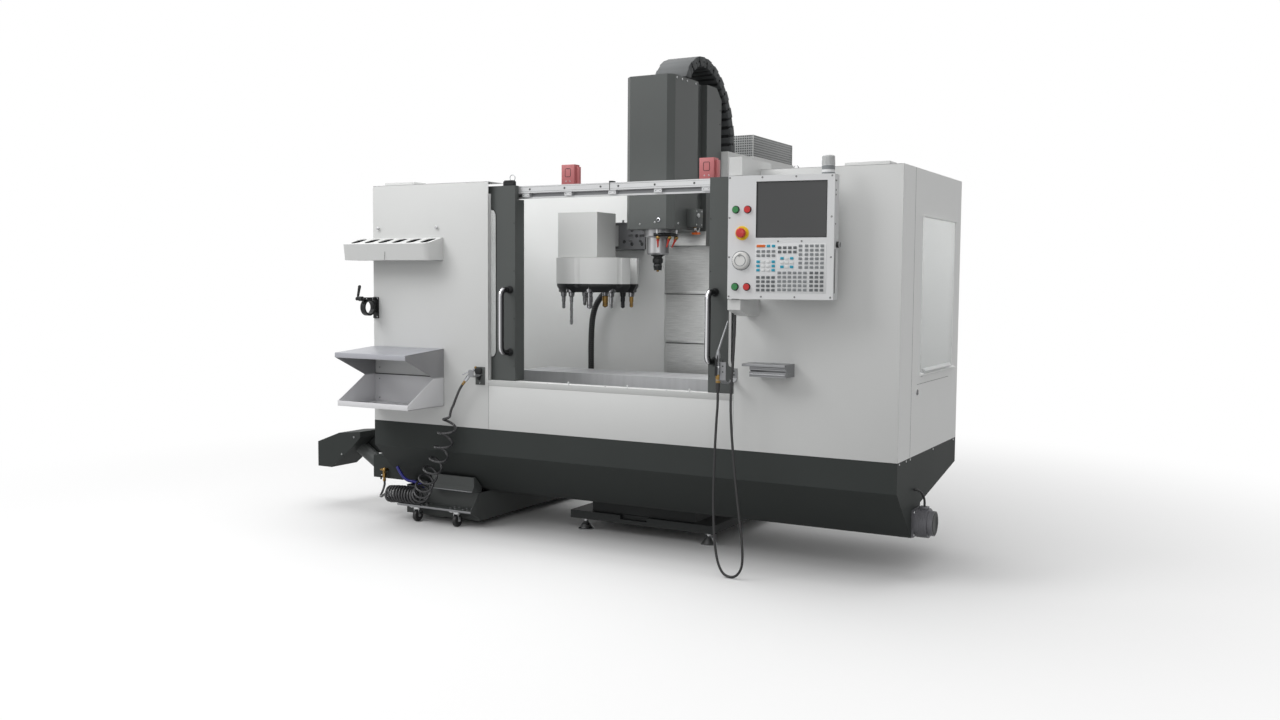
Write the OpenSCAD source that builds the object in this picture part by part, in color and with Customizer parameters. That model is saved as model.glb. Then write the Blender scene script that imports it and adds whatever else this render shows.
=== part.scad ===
// Toolroom vertical machining center with sliding doors, a side carousel tool changer,
// a chip auger, a coolant tank on casters and a swivelling control pendant.
// Machine frame: x from the centre plane, y back from the front panels, z up from the floor.

/* [Enclosure] */
// Width over the side panels
enclosure_w = 2772; // [2600:4:2900]
// Depth from the front panels to the back panel
enclosure_d = 946; // [946:2:980]
// Height of the lower edge of the panels
panel_bottom = 536; // [500:2:560]
// Height of the upper edge of the panels
panel_top = 1742; // [1700:2:1780]
// Width of the door opening
opening_w = 1310; // [1290:2:1330]
// Height of the sill under the doors
sill_z = 777; // [700:1:785]
// Thickness of the sheet metal
sheet = 3; // [2:0.5:4]
// Width of the side windows
side_window_w = 540; // [400:5:580]
// Height of the side windows
side_window_h = 660; // [400:5:700]

/* [Chip pan] */
// Height of the fold under the skirt
skirt_bottom = 407; // [395:1:430]
// Distance of the auger axis from the front
auger_y = 280; // [270:1:290]
// Height of the auger axis
auger_z = 248; // [245:1:260]
// Radius of the auger flight
auger_r = 50; // [40:1:52]
// Pitch of the auger flight
auger_pitch = 150; // [120:5:200]
// Height of the pan at its back edge
pan_rear_z = 420; // [400:1:440]
// Reach of the chip chute beyond the left side
chute_reach = 579; // [540:1:620]

/* [Doors] */
// Width of one door
door_w = 690; // [670:1:720]
// Distance of each door's edge from the centre when open
door_open = 518; // [500:1:525]
// Thickness of a door frame
door_t = 30; // [24:1:34]
// Width of a door's frame members
door_rail_w = 112; // [90:1:120]
// Length of a door handle
handle_l = 303; // [240:1:360]
// Radius of a door handle bar
handle_r = 11; // [8:0.5:14]

/* [Machine] */
// Width of the base plate
base_w = 800; // [720:10:860]
// Height of the base plate above the floor
foot_h = 65; // [50:1:80]
// Thickness of the base plate
base_t = 40; // [30:1:50]
// Height of the table's face
table_z = 800; // [790:1:810]
// Length of the table
table_l = 1467; // [1300:1:1500]
// Width of the table
table_w = 267; // [240:1:280]
// Width of a T-slot
slot_w = 16; // [12:1:18]
// Pitch of the T-slots
slot_pitch = 80; // [60:1:90]
// Distance of the spindle axis from the front
spindle_y = 520; // [510:1:530]
// Half width of the column
column_h = 160; // [150:1:165]
// Height of the column's top
column_top = 1945; // [1900:5:1960]

/* [Head] */
// Half width of the head cover
head_h = 132; // [120:1:135]
// Height of the head's front lower edge
head_bottom = 1520; // [1510:1:1560]
// Height of the head's top
head_top = 2260; // [2200:5:2300]
// Vertical travel of the head
head_travel = 490; // [400:5:490]
// Radius of the spindle cartridge
cartridge_r = 55; // [50:1:60]
// Height of the spindle nose at the top of its travel
nose_z = 1391; // [1390:1:1400]
// Radius of the tool holder
holder_r = 25; // [20:1:28]

/* [Tool changer] */
// Distance of the carousel axis from the spindle axis
carousel_x = 348; // [346:1:352]
// Radius of the carousel cover
carousel_r = 212; // [210:1:214]
// Height of the carousel cover's lower edge
carousel_z = 1250; // [1245:1:1260]
// Height of the carousel cover
carousel_h = 131; // [120:1:132]
// Number of tool pockets
pockets = 10; // [8:2:10]
// Radius of the pocket circle
pocket_pcd_r = 174; // [172:1:176]

/* [Pendant] */
// Width of the pendant
pendant_w = 440; // [430:1:460]
// Height of the pendant
pendant_hgt = 502; // [495:1:520]
// Depth of the pendant
pendant_d = 85; // [75:1:95]
// Height of the pendant's lower edge
pendant_z = 1196; // [1190:1:1200]
// Turn of the pendant towards the operator
pendant_yaw = 7.6; // [0:0.2:12]
// Travel of a push-button
button_travel = 4; // [3:0.5:5]

/* [Tank] */
// Width of the coolant tank
tank_w = 480; // [420:5:490]
// Length of the coolant tank
tank_l = 1090; // [900:10:1200]
// Radius of a caster wheel
wheel_r = 32; // [28:1:34]

/* [Accessories] */
// Length of the tool-holder rack
rack_w = 540; // [450:5:560]
// Depth of the tool-holder rack
rack_d = 125; // [110:1:140]
// Radius of the rack's holes
rack_hole_r = 24; // [20:0.5:26]
// Width of the parts bin
bin_w = 450; // [400:5:480]
// Depth of the parts bin
bin_d = 291; // [280:1:310]
// Bore radius of the holder vise
vise_bore_r = 26.5; // [25:0.5:28]

/* [Hidden] */
$fn = 48;
// Running clearance of a shaft in its bore
run = 0.05;
// Gap between a sliding piece and its seat
seat = 0.3;

half_w = enclosure_w / 2;
open_h = opening_w / 2;

// Door track
door_y = 30;
rail_y = door_y + door_t + seat;
rail_z = [panel_top - 58, panel_top - 24];
rail_back = rail_y + 54;
return_d = 46;
sill_d = 66;

// Interlock boxes on the rail
interlock_x = [-275, 448];
interlock_y = rail_y + 4;
interlock_w = 72;
interlock_hgt = 92;
door_z = [sill_z + seat, rail_z[1] + 2];

// Chip pan section
trough_floor = auger_z - auger_r - 11;
trough_front = auger_y - 55;
trough_back = auger_y + 40;
pan_line = [
    [0, panel_bottom],
    [0, skirt_bottom],
    [skirt_bottom - trough_floor - 12, trough_floor + 12],
    [trough_front, trough_floor],
    [trough_back, trough_floor],
    [trough_back + 25, trough_floor + 38],
    [trough_back + 34, auger_z + 71],
    [enclosure_d, pan_rear_z],
    [enclosure_d, panel_bottom]
];

// Height of the pan's sloping floor at a distance from the front
function pan_at(y) =
    let (low = pan_line[6], high = pan_line[7])
    low.y + (high.y - low.y) * (y - low.x) / (high.x - low.x);

// Castings and guideways
base_y = [350, 1480];
deck_h = 300;
deck_z = table_z - 230;
deck_front = 130;
pedestal_y = trough_back + 65;
column_y = [990, 1300];
guide_w = 30;
guide_h = 28;
y_guide_x = 190;
z_guide_x = 100;
saddle_h = 280;
saddle_d = 178;
saddle_z = [deck_z + guide_h + seat, table_z - 110];
table_bottom = table_z - 90;
foot_x = base_w / 2 - 52;
foot_y = [base_y[0] + 65, base_y[1] - 80];

// Head
head_front = spindle_y - 110;
head_chamfer = 30;
head_back = column_y[0] - guide_h - seat;
carriage_front = spindle_y + 270;
carriage_bottom = head_bottom - 70;
neck_h = head_h - 32;

// Telescopic cover of the vertical guideway
cover_h = 168;
cover_y = 917;
cover_step = sheet + seat;
cover_flange = 14;
cover_z = [
    [carriage_bottom - head_travel / 2 - 9, carriage_bottom],
    [carriage_bottom - head_travel - 10, carriage_bottom - head_travel / 2 - 1],
    [deck_z, carriage_bottom - head_travel - 2]
];

// Tool changer
changer_travel = carousel_x - pocket_pcd_r;
carousel_top = carousel_z + carousel_h;
pocket_slot_r = 33;
tool_hole_r = 30;
tool_hole_h = 85;
groove_r = 30;
groove_turn = -28;
fork_h = 42;
fork_inner_r = pocket_pcd_r - 95;
box_x = [-545, -311];
box_y = [spindle_y - 70, spindle_y + 115];
box_z = [carousel_top + 4, 1612];
bracket_y = [700, 712];
bracket_x = [-560, -172];
bracket_z = [1431, 1569];
arm_x = [-520, -310];
shaft_r = 25;

// Cable chain: a round rise from the head, then a quarter ellipse down to the column
chain_x = 50;
chain_w = 180;
chain_t = 50;
chain_peak_y = spindle_y + 215;
chain_peak_z = max(head_top, column_top) + 130;
chain_front_r = 220;
chain_rise = min(445, chain_peak_z - column_top);
chain_base = chain_peak_z - chain_rise;
chain_reach = column_y[0] + 130 - chain_peak_y;

// Pendant
pivot = [737, -165];
face_y = -45;
pivot_r = 12;
arm_w = 58;
arm_left = pivot[0] - 25;
pendant_left = -25;
pendant_top = pendant_z + pendant_hgt;
screen_x = [96, 383];
screen_z = [pendant_z + 253, pendant_z + 474];
button_r = 13;
stem_r = 8;
button_x = [8, 58];
power_z = pendant_z + 365;
cycle_z = pendant_z + 50;
stop_at = [36, pendant_z + 269];
jog_at = [33, pendant_z + 157];
jog_r = 36;

// Coolant tank
tank_right = -830;
tank_x = [tank_right - tank_w, tank_right];
tank_y = [160, 160 + tank_l];
tank_top = trough_floor - 7;
ledge_z = 2 * wheel_r + 18;
ledge_d = 78;
caster_x = [tank_x[0] + 109, tank_x[1] - 112];
caster_y = [tank_y[0] - 43, tank_y[1] + 43];

// Chip chute, from the pan's left end
chute_left = -half_w - chute_reach;
chute_line = [
    [chute_left, 221],
    [chute_left + 100, 221],
    [chute_left + 255, 345],
    [chute_left + 310, 400],
    [chute_left + 310, 432],
    [chute_left + 159, 418],
    [chute_left, 359]
];
chute_y = [auger_y - 100, auger_y + 100];
outlet_x = -half_w - 204;
tube_tilt = 32;
tube_r = 36;

// Auger gearmotor
motor_l = 86;
motor_r = 62;
motor_end = half_w + motor_l;

// Control cabinet
cabinet_x = [-420, 170];
cabinet_d = 590;
cabinet_y = [column_y[1], column_y[1] + cabinet_d];
cabinet_z = [400, 1950];
vent_h = 115;

// The origin is under the middle of the machine's outline
origin_x = (chute_left + motor_end) / 2;
origin_y = (cabinet_y[1] - bin_d) / 2;

// Rack, bin, vise and hooks
rack_x = -half_w - 86;
rack_z = [1361, 1475];
bin_x = -half_w + 6;
bin_z = [635, 925];
vise_z = 1122;
vise_y = -60;
vise_l = 40;
vise_lever_at = [-112, 1166];
hook_w = 28;
tray_x = [open_h + 87, open_h + 281];
tray_z = [868, 923];
tray_d = 110;
wash_hook_x = open_h - 10;
wash_hook_y = 118;
air_hook_x = -open_h - 76;
gun_r = 9.5;
wash_gun_at = [wash_hook_x - gun_r - seat, -117];
trigger_pin = [-14, 948];
air_gun_at = [-765, -60, 758];
air_gun_tilt = 42;

// Hoses: points of their routes
hose_r = 5.5;
wash_route = [
    [722, -140, 1129], [721, -140, 1060], [716, -140, 950], [709, -139, 840], [706, -138, 740],
    [712, -137, 620], [728, -135, 450], [748, -132, 280], [763, -128, 140], [760, -124, 62],
    [735, -120, 18], [700, -118, 7], [665, -117, 24], [640, -116, 80], [626, -116, 180],
    [620, -116, 330], [623, -116, 500], [630, -117, 660], [635.2, -117, 740], [635.2, -117, 806]
];
air_r = 5.5;
coil_r = 44;
air_route = [
    [-766, -60, 757], [-785, -60, 730], [-806, -60, 690], [-822, -60, 655], [-838, -60, 625.5], [-844.8, -60, 600.6]
];
coil_route = [
    [-845, -60, 600], [-868, -60, 510], [-909, -60, 396], [-975, -50, 305], [-1050, -10, 225],
    [-1120, 50, 165], [-1190, 88, 140], [-1290, 100, 138], [-1395, 110, 128]
];
tail_route = [
    [-1395.6, 110, 128], [-1418, 112, 125.5], [-1450, 122, 107], [-1478, 142, 104], [-1490, 172, 122],
    [-1490, 188, 154], [-1490, 188, 174.6]
];
valve_at = [-1490, 188, 175];
conduit_r = 16;
conduit_y = max(enclosure_d - 62, spindle_y + carousel_r + 28);
conduit_foot = pan_at(conduit_y) + 7;
conduit_route = [
    [-488, conduit_y, bracket_z[0] - seat], [-488, conduit_y, 1370], [-490, conduit_y, 1300], [-498, conduit_y, 1245],
    [-520, conduit_y, 1205], [-550, conduit_y, 1172], [-582, conduit_y, 1122], [-601, conduit_y, 1050],
    [-608, conduit_y, 940], [-608, conduit_y, 800], [-608, conduit_y, 600], [-608, conduit_y, conduit_foot]
];
motor_cable_route = [
    [1425, 280, 310], [1425, 279, 345], [1418, 265, 375], [1404, 250, 390], [1386.5, 248, 392]
];
blue_hose_route = [
    [-1325, 112, 283], [-1290, 112, 275], [-1254, 118, 252], [-1222, 135, 215], [-1196, 158, 180],
    [-1180, 181.9, 152]
];

// Geometry helpers
function unit(v) = v / norm(v);
// A span around a centre
function around(c, a, b) = [c + a, c + b];
function left_of(a, b) = [a.y - b.y, b.x - a.x] / norm(b - a);
function corner(p, i, t) =
    let (last = len(p) - 1)
    i == 0 ? p[0] + t * left_of(p[0], p[1]) :
    i == last ? p[last] + t * left_of(p[last - 1], p[last]) :
    let (a = left_of(p[i - 1], p[i]), b = left_of(p[i], p[i + 1]), m = unit(a + b))
    p[i] + m * t / (m * a);
// Outline of a folded sheet of thickness t on the left of a line
function band(p, t) = concat(p, [for (i = [len(p) - 1 : -1 : 0]) corner(p, i, t)]);
// Closed outline moved inwards by t
function inset(p, t) =
    let (n = len(p))
    [for (i = [0 : n - 1])
        let (a = left_of(p[(i + n - 1) % n], p[i]), b = left_of(p[i], p[(i + 1) % n]), m = unit(a + b))
        p[i] + m * t / (m * a)];

function spline_at(p, i, t) =
    let (
        a = p[max(i - 1, 0)], b = p[i], c = p[i + 1], d = p[min(i + 2, len(p) - 1)]
    )
    0.5 * (2 * b + (c - a) * t + (2 * a - 5 * b + 4 * c - d) * t * t + (3 * b - a - 3 * c + d) * t * t * t);
function smooth(p, steps) = concat(
    [for (i = [0 : len(p) - 2]) for (k = [0 : steps - 1]) spline_at(p, i, k / steps)], [p[len(p) - 1]]);

module in_place() {
    translate([-origin_x, -origin_y, 0])
        children();
}

module slab(x, y, z) {
    translate([x[0], y[0], z[0]])
        cube([x[1] - x[0], y[1] - y[0], z[1] - z[0]]);
}

// Extrudes a (y, z) profile over a span of x
module along_x(x) {
    translate([x[0], 0, 0])
        rotate([90, 0, 90])
            linear_extrude(x[1] - x[0])
                children();
}

// Extrudes an (x, z) profile over a span of y
module along_y(y) {
    translate([0, y[1], 0])
        rotate([90, 0, 0])
            linear_extrude(y[1] - y[0])
                children();
}

module rod_x(r, x, y, z) {
    translate([x[0], y, z])
        rotate([0, 90, 0])
            cylinder(r = r, h = x[1] - x[0]);
}

module rod_y(r, x, y, z) {
    translate([x, y[0], z])
        rotate([-90, 0, 0])
            cylinder(r = r, h = y[1] - y[0]);
}

module rod_z(r, x, y, z) {
    translate([x, y, z[0]])
        cylinder(r = r, h = z[1] - z[0]);
}

module both_sides() {
    children();
    mirror([1, 0, 0])
        children();
}

module rounded(w, h, r) {
    translate([r, 0])
        square([w - 2 * r, h]);
    translate([0, r])
        square([w, h - 2 * r]);
    for (x = [r, w - r], y = [r, h - r])
        translate([x, y])
            circle(r);
}

// A tube along a route; side is a direction that the route never follows
module hose(route, r, side, steps = 4, sides = 8) {
    path = smooth(route, steps);
    last = len(path) - 1;
    rings = [for (i = [0 : last])
        let (
            t = unit(path[min(i + 1, last)] - path[max(i - 1, 0)]),
            u = unit(cross(side, t)),
            v = cross(t, u)
        )
        for (k = [0 : sides - 1]) path[i] + r * (cos(360 * k / sides) * u + sin(360 * k / sides) * v)];
    skin = [for (i = [0 : last - 1], k = [0 : sides - 1])
        let (n = (k + 1) % sides)
        [i * sides + k, (i + 1) * sides + k, (i + 1) * sides + n, i * sides + n]];
    near_end = [for (k = [0 : sides - 1]) k];
    far_end = [for (k = [sides - 1 : -1 : 0]) last * sides + k];
    polyhedron(rings, concat(skin, [near_end], [far_end]));
}

// Castings
module base_casting() {
    color("dimgray")
        in_place()
            difference() {
                union() {
                    slab([-base_w / 2, base_w / 2], base_y, [foot_h, foot_h + base_t]);
                    along_x([-deck_h + 10, deck_h - 10])
                        polygon([
                            [pedestal_y, foot_h], [column_y[0], foot_h], [column_y[0], deck_z], [deck_front, deck_z],
                            [deck_front, deck_z - 80], [pedestal_y, deck_z - 140]
                        ]);
                    slab([-column_h - 60, column_h + 60], [column_y[0] - 20, base_y[1]], [foot_h, 400]);
                    both_sides()
                        slab([y_guide_x - guide_w / 2, y_guide_x + guide_w / 2],
                            [deck_front + 10, column_y[0] - 75], [deck_z, deck_z + guide_h]);
                }
                slab([-110, 40], [base_y[0] - 1, base_y[0] + 28], [foot_h + base_t / 2, foot_h + base_t + 1]);
                both_sides()
                    rod_x(70, [deck_h - 60, deck_h], 700, 330);
            }
}

module levelling_feet() {
    color("silver")
        in_place()
            for (x = [-foot_x, foot_x], y = foot_y)
                translate([x, y, 0])
                    rotate_extrude()
                        polygon([
                            [0, 0], [40, 0], [40, 5], [36, 9], [15, 36], [11, 42],
                            [11, foot_h - 14], [19, foot_h - 14], [19, foot_h], [0, foot_h]
                        ]);
}

module column() {
    color("gainsboro")
        in_place()
            union() {
                difference() {
                    slab([-column_h, column_h], column_y, [400, column_top]);
                    slab([-column_h + 40, column_h - 40], [column_y[0] + 45, column_y[1] - 45], [399, column_top - 60]);
                }
                both_sides()
                    slab([z_guide_x - guide_w / 2, z_guide_x + guide_w / 2],
                        [column_y[0] - guide_h, column_y[0]], [deck_z + 60, column_top - 5]);
            }
}

module saddle() {
    color("dimgray")
        in_place()
            union() {
                slab([-saddle_h, saddle_h], [spindle_y - saddle_d, spindle_y + saddle_d],
                    [saddle_z[0], saddle_z[1] - 20]);
                for (y = [-85, 85])
                    slab([-saddle_h, saddle_h], [spindle_y + y - 15, spindle_y + y + 15],
                        [saddle_z[1] - 20, table_bottom - seat]);
            }
}

module table() {
    color("slategray")
        in_place()
            difference() {
                slab([-table_l / 2, table_l / 2], [spindle_y - table_w / 2, spindle_y + table_w / 2],
                    [table_bottom, table_z]);
                for (n = [-1 : 1]) {
                    slab([-table_l, table_l], around(spindle_y + n * slot_pitch, -slot_w / 2, slot_w / 2),
                        [table_z - 30, table_z + 1]);
                    slab([-table_l, table_l], around(spindle_y + n * slot_pitch, 1 - slot_w, slot_w - 1),
                        [table_z - 30, table_z - 18]);
                }
            }
}

// Head and spindle
module head_cover() {
    color("dimgray")
        in_place()
            difference() {
                union() {
                    translate([0, 0, head_bottom])
                        linear_extrude(head_top - head_bottom)
                            both_sides()
                                polygon([
                                    [0, head_front], [head_h - head_chamfer, head_front],
                                    [head_h, head_front + head_chamfer], [head_h, carriage_front - 102],
                                    [neck_h, carriage_front - 102], [neck_h, carriage_front + 5], [0, carriage_front + 5]
                                ]);
                    along_x([-head_h, head_h])
                        polygon([
                            [carriage_front, carriage_bottom], [head_back, carriage_bottom], [head_back, head_top - 56],
                            [head_back - 60, head_top], [carriage_front, head_top]
                        ]);
                }
                rod_z(cartridge_r, 0, spindle_y, [head_bottom - 1, head_bottom + 120]);
            }
}

module spindle_cartridge() {
    color("silver")
        in_place()
            translate([0, spindle_y, 0])
                rotate_extrude()
                    polygon([
                        [34, nose_z + 6], [cartridge_r - 6, nose_z + 6], [cartridge_r, nose_z + 14],
                        [cartridge_r, head_bottom - 40], [cartridge_r + 14, head_bottom - 32],
                        [cartridge_r + 16, head_bottom - 8], [cartridge_r + 16, head_bottom],
                        [cartridge_r, head_bottom], [cartridge_r, head_bottom + 120], [34, head_bottom + 120]
                    ]);
}

module spindle() {
    color("black")
        in_place()
            translate([0, spindle_y, 0])
                rotate_extrude()
                    polygon([
                        [0, nose_z - 71], [holder_r - 6, nose_z - 71], [holder_r - 3, nose_z - 50],
                        [holder_r - 6, nose_z - 40], [holder_r, nose_z - 34], [holder_r, nose_z - 14],
                        [holder_r - 4, nose_z - 10], [holder_r - 4, nose_z - 6], [holder_r, nose_z - 2],
                        [holder_r, nose_z], [34 - run, nose_z], [34 - run, head_bottom + 110], [0, head_bottom + 110]
                    ]);
}

module coolant_manifold() {
    bar_z = head_bottom - 34;
    bar_r = [80, 106];
    color("darkgoldenrod")
        in_place()
            union() {
                translate([0, spindle_y, bar_z])
                    rotate([0, 0, -75])
                        rotate_extrude(angle = 100)
                            translate([bar_r[0], 0])
                                square([bar_r[1] - bar_r[0], 14]);
                for (a = [-65, 15])
                    translate([0, spindle_y, 0])
                        rotate([0, 0, a])
                            rod_z(6, 93, 0, [bar_z + 10, head_bottom]);
                for (a = [-62, -25, 12])
                    translate([0, spindle_y, bar_z])
                        rotate([0, 0, a])
                            translate([93, 0, -5]) {
                                sphere(11);
                                rotate([0, -155, 0])
                                    cylinder(r1 = 6, r2 = 3, h = 52);
                            }
                slab([head_h, head_h + 50], [spindle_y + 50, spindle_y + 140], [head_bottom + 12, head_bottom + 105]);
                translate([head_h + 25, spindle_y + 118, head_bottom + 12])
                    rotate([90, 0, 90])
                        rotate([0, 0, 180])
                            rotate_extrude(angle = 180)
                                translate([22, 0])
                                    circle(6);
            }
}

// Telescopic cover segments, the outermost at the top
module cover_segment(n) {
    h = cover_h - n * 6;
    y = cover_y + n * cover_step;
    z = cover_z[n];
    slab([-h, h], [y, y + sheet], z);
    both_sides()
        slab([h - sheet, h], [y, y + cover_flange], z);
}

module z_cover_top() {
    color("lightgray")
        in_place()
            cover_segment(0);
}

module z_cover_mid() {
    color("lightgray")
        in_place()
            cover_segment(1);
}

module z_cover_bottom() {
    color("lightgray")
        in_place()
            cover_segment(2);
}

// Joint of the chain's links at a depth t under its outer face; the angle runs from the column to the head
function chain_at(angle, t) =
    angle <= 90 ?
        [chain_peak_y + (chain_reach - t) * cos(angle), chain_base + (chain_rise - t) * sin(angle)] :
        [chain_peak_y + (chain_front_r - t) * cos(angle), chain_peak_z - chain_front_r + (chain_front_r - t) * sin(angle)];

// Foot of the chain on the head at a depth t
function chain_foot(t) =
    let (r = chain_front_r - t, rise = head_top - chain_peak_z + chain_front_r)
    [chain_peak_y - sqrt(max(r * r - rise * rise, 0)), head_top];

// Cable chain: stiff links, every second one narrower
module cable_chain() {
    x = [chain_x - chain_w / 2, chain_x + chain_w / 2];
    rear_links = 14;
    front_links = 4;
    last = 90 + 13 * front_links;
    angles = concat([for (n = [0 : rear_links]) 90 * n / rear_links], [for (n = [1 : front_links]) 90 + 13 * n]);
    color("dimgray")
        in_place()
            union() {
                for (n = [0 : len(angles) - 2])
                    along_x(n % 2 == 0 ? x : [x[0] + 4, x[1] - 4])
                        polygon([
                            chain_at(angles[n], 0), chain_at(angles[n + 1], 0),
                            chain_at(angles[n + 1], chain_t), chain_at(angles[n], chain_t)
                        ]);
                along_x(x)
                    polygon([
                        chain_at(last, 0), chain_foot(0), chain_foot(chain_t), chain_at(last, chain_t)
                    ]);
                if (chain_base > column_top + 1)
                    slab(x, [chain_peak_y + chain_reach - chain_t, chain_peak_y + chain_reach], [column_top, chain_base + 1]);
            }
}

// Tool changer
module changer_bracket() {
    color("dimgray")
        in_place()
            difference() {
                union() {
                    slab(bracket_x, bracket_y, bracket_z);
                    slab(bracket_x, [bracket_y[0] - 14, bracket_y[1]], [bracket_z[1] - 4, bracket_z[1]]);
                    slab(arm_x, [bracket_y[1], enclosure_d], bracket_z);
                }
                for (x = [-260, -200])
                    rod_y(9, x, [bracket_y[0] - 1, bracket_y[1] + 1], bracket_z[0] + 40);
                for (x = [-270, -205])
                    slab([x, x + 28], [bracket_y[0] - 1, bracket_y[1] + 1], [bracket_z[0] + 62, bracket_z[0] + 76]);
                slab([arm_x[0] + 8, arm_x[1] - 8], [bracket_y[1] + 10, enclosure_d - 10], [bracket_z[0] + 8, bracket_z[1] + 1]);
            }
}

module changer_slide() {
    color("gainsboro")
        in_place()
            difference() {
                union() {
                    slab(box_x, box_y, box_z);
                    slab([box_x[0] + 45, box_x[1] - 20], [box_y[1], bracket_y[0] - seat],
                        [bracket_z[0] + 15, bracket_z[1] - 15]);
                }
                rod_z(shaft_r + run, -carousel_x, spindle_y, [box_z[0] - 1, box_z[0] + 90]);
            }
}

// Slots for the two free pockets, opposite each other
module free_pockets(r, z) {
    for (side = [0, 180])
        rotate([0, 0, side]) {
            rod_z(r, pocket_pcd_r, 0, z);
            slab([pocket_pcd_r, carousel_r + 20], [-r, r], z);
        }
}

// Round holes of the pockets that hold a tool
module tool_holes(r, z) {
    for (n = [0 : pockets - 1])
        if (n % (pockets / 2) != 0)
            rotate([0, 0, 360 * n / pockets])
                rod_z(r, pocket_pcd_r, 0, z);
}

// Shallow upright grooves that part the rim into lobes
module rim_grooves(depth, z) {
    for (n = [0 : 5])
        rotate([0, 0, groove_turn + 60 * n])
            rod_z(groove_r, carousel_r + groove_r - depth, 0, z);
}

module carousel() {
    color("gainsboro")
        in_place()
            translate([-carousel_x, spindle_y, 0])
                difference() {
                    union() {
                        rod_z(carousel_r, 0, 0, [carousel_z, carousel_top]);
                        rod_z(shaft_r, 0, 0, [carousel_top, box_z[0] + 80]);
                    }
                    free_pockets(pocket_slot_r, [carousel_z - 1, carousel_top + 1]);
                    tool_holes(tool_hole_r, [carousel_z - 1, carousel_z + tool_hole_h]);
                    rim_grooves(4, [carousel_z - 1, carousel_top + 1]);
                }
}

module pocket_forks() {
    z = [carousel_z - fork_h - 1, carousel_z + 1];
    color("black")
        in_place()
            translate([-carousel_x, spindle_y, 0])
                difference() {
                    rotate_extrude()
                        polygon([
                            [fork_inner_r, carousel_z - fork_h], [carousel_r - 22, carousel_z - fork_h],
                            [carousel_r - 3, carousel_z - 12], [carousel_r - 3, carousel_z], [fork_inner_r, carousel_z]
                        ]);
                    free_pockets(27, z);
                    tool_holes(27, z);
                    for (n = [0 : pockets - 1])
                        rotate([0, 0, 360 * n / pockets])
                            slab([pocket_pcd_r, carousel_r], [-1.5, 1.5], z);
                    rim_grooves(8, z);
                }
}

// A tool holder with its tool, hanging in a fork; the tool reaches tool_l below the fork
module hanging_tool(tool_r, tool_l) {
    low = carousel_z - fork_h;
    rotate_extrude()
        polygon([
            [0, low - tool_l], [tool_r, low - tool_l + tool_r / 2], [tool_r, low - 22], [13, low - 20],
            [16, low - 2], [16, low + 2], [26.5, low + 4], [26.5, carousel_z + seat], [29, carousel_z + seat],
            [29, carousel_z + 12], [22, carousel_z + 14], [14, carousel_z + 70], [0, carousel_z + 70]
        ]);
}

// Radius and reach of the tool in a pocket: drills, end mills and one long drill
function tool_size(n) =
    n % 10 == 7 ? [7, 165] :
    n % 5 == 3 ? [14, 84] :
    [8 + n % 3, 74 + 6 * (n % 4)];

module carousel_tools() {
    color("darkgoldenrod")
        in_place()
            translate([-carousel_x, spindle_y, 0])
                for (n = [0 : pockets - 1])
                    if (n % (pockets / 2) != 0)
                        rotate([0, 0, 360 * n / pockets])
                            translate([pocket_pcd_r, 0, 0])
                                hanging_tool(tool_size(n)[0], tool_size(n)[1]);
}

module conduits() {
    color("black")
        in_place() {
            hose(conduit_route, conduit_r, [0, 1, 0], 3);
            hose(motor_cable_route, 5, [0, 1, 0.3], 3);
            hose(blue_hose_route, 8, [0, 0.3, 1], 3);
        }
}

// Enclosure
module front_panel() {
    edge = 24;
    top_d = 125;
    cap_x = [half_w - 254, half_w - 64];
    slab([open_h, half_w], [0, sheet], [panel_bottom, panel_top]);
    slab([open_h, open_h + sheet], [0, edge], [sill_z, rail_z[0] - seat]);
    slab([open_h, half_w - sheet - seat], [0, top_d], [panel_top - sheet, panel_top]);
    slab(cap_x, [20, top_d - 10], [panel_top - sheet, panel_top + 34]);
}

module front_panels() {
    ledge_y = sheet + seat;
    color("gainsboro")
        in_place() {
            both_sides()
                front_panel();
            union() {
                slab([-open_h + seat, open_h - seat], [0, sheet], [panel_bottom, sill_z]);
                slab([-open_h + seat, open_h - seat], [0, ledge_y], [sill_z - sheet, sill_z]);
                slab([-half_w + sheet, half_w - sheet], [ledge_y, sill_d], [sill_z - sheet, sill_z]);
                slab([-half_w + sheet, half_w - sheet], [sill_d - sheet, sill_d], [panel_bottom, sill_z]);
            }
        }
}

module side_panel() {
    window_y = [300, 300 + side_window_w];
    window_z = [885, 885 + side_window_h];
    difference() {
        union() {
            slab([half_w - sheet, half_w], [sheet + seat, enclosure_d], [panel_bottom, panel_top]);
            slab([half_w - 28, half_w], [130, enclosure_d], [panel_top - sheet, panel_top]);
            along_y([window_y[0] - 12, window_y[1] + 12])
                polygon([
                    [half_w, window_z[0] - 16], [half_w + 14, window_z[0] - 10],
                    [half_w + 14, window_z[0] - 6], [half_w, window_z[0]]
                ]);
            slab([half_w, half_w + 10], [window_y[0] - 12, window_y[1] + 12], [window_z[1], window_z[1] + 6]);
        }
        slab([half_w - 2 * sheet, half_w + sheet], window_y, window_z);
    }
}

module enclosure_walls() {
    cut_h = cover_h + 17;
    color("gainsboro")
        in_place() {
            both_sides()
                side_panel();
            difference() {
                slab([-half_w, half_w], [enclosure_d, enclosure_d + sheet], [pan_rear_z, panel_top]);
                slab([-cut_h, cut_h], [enclosure_d - 1, enclosure_d + sheet + 1], [deck_z - 40, panel_top + 1]);
                slab([-deck_h, deck_h], [enclosure_d - 1, enclosure_d + sheet + 1], [0, deck_z + seat]);
            }
        }
}

module side_windows() {
    lap = 15;
    color("lightcyan", 0.5)
        in_place()
            both_sides()
                slab([half_w - sheet - 5, half_w - sheet], [300 - lap, 300 + side_window_w + lap],
                    [885 - lap, 885 + side_window_h + lap]);
}

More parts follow.
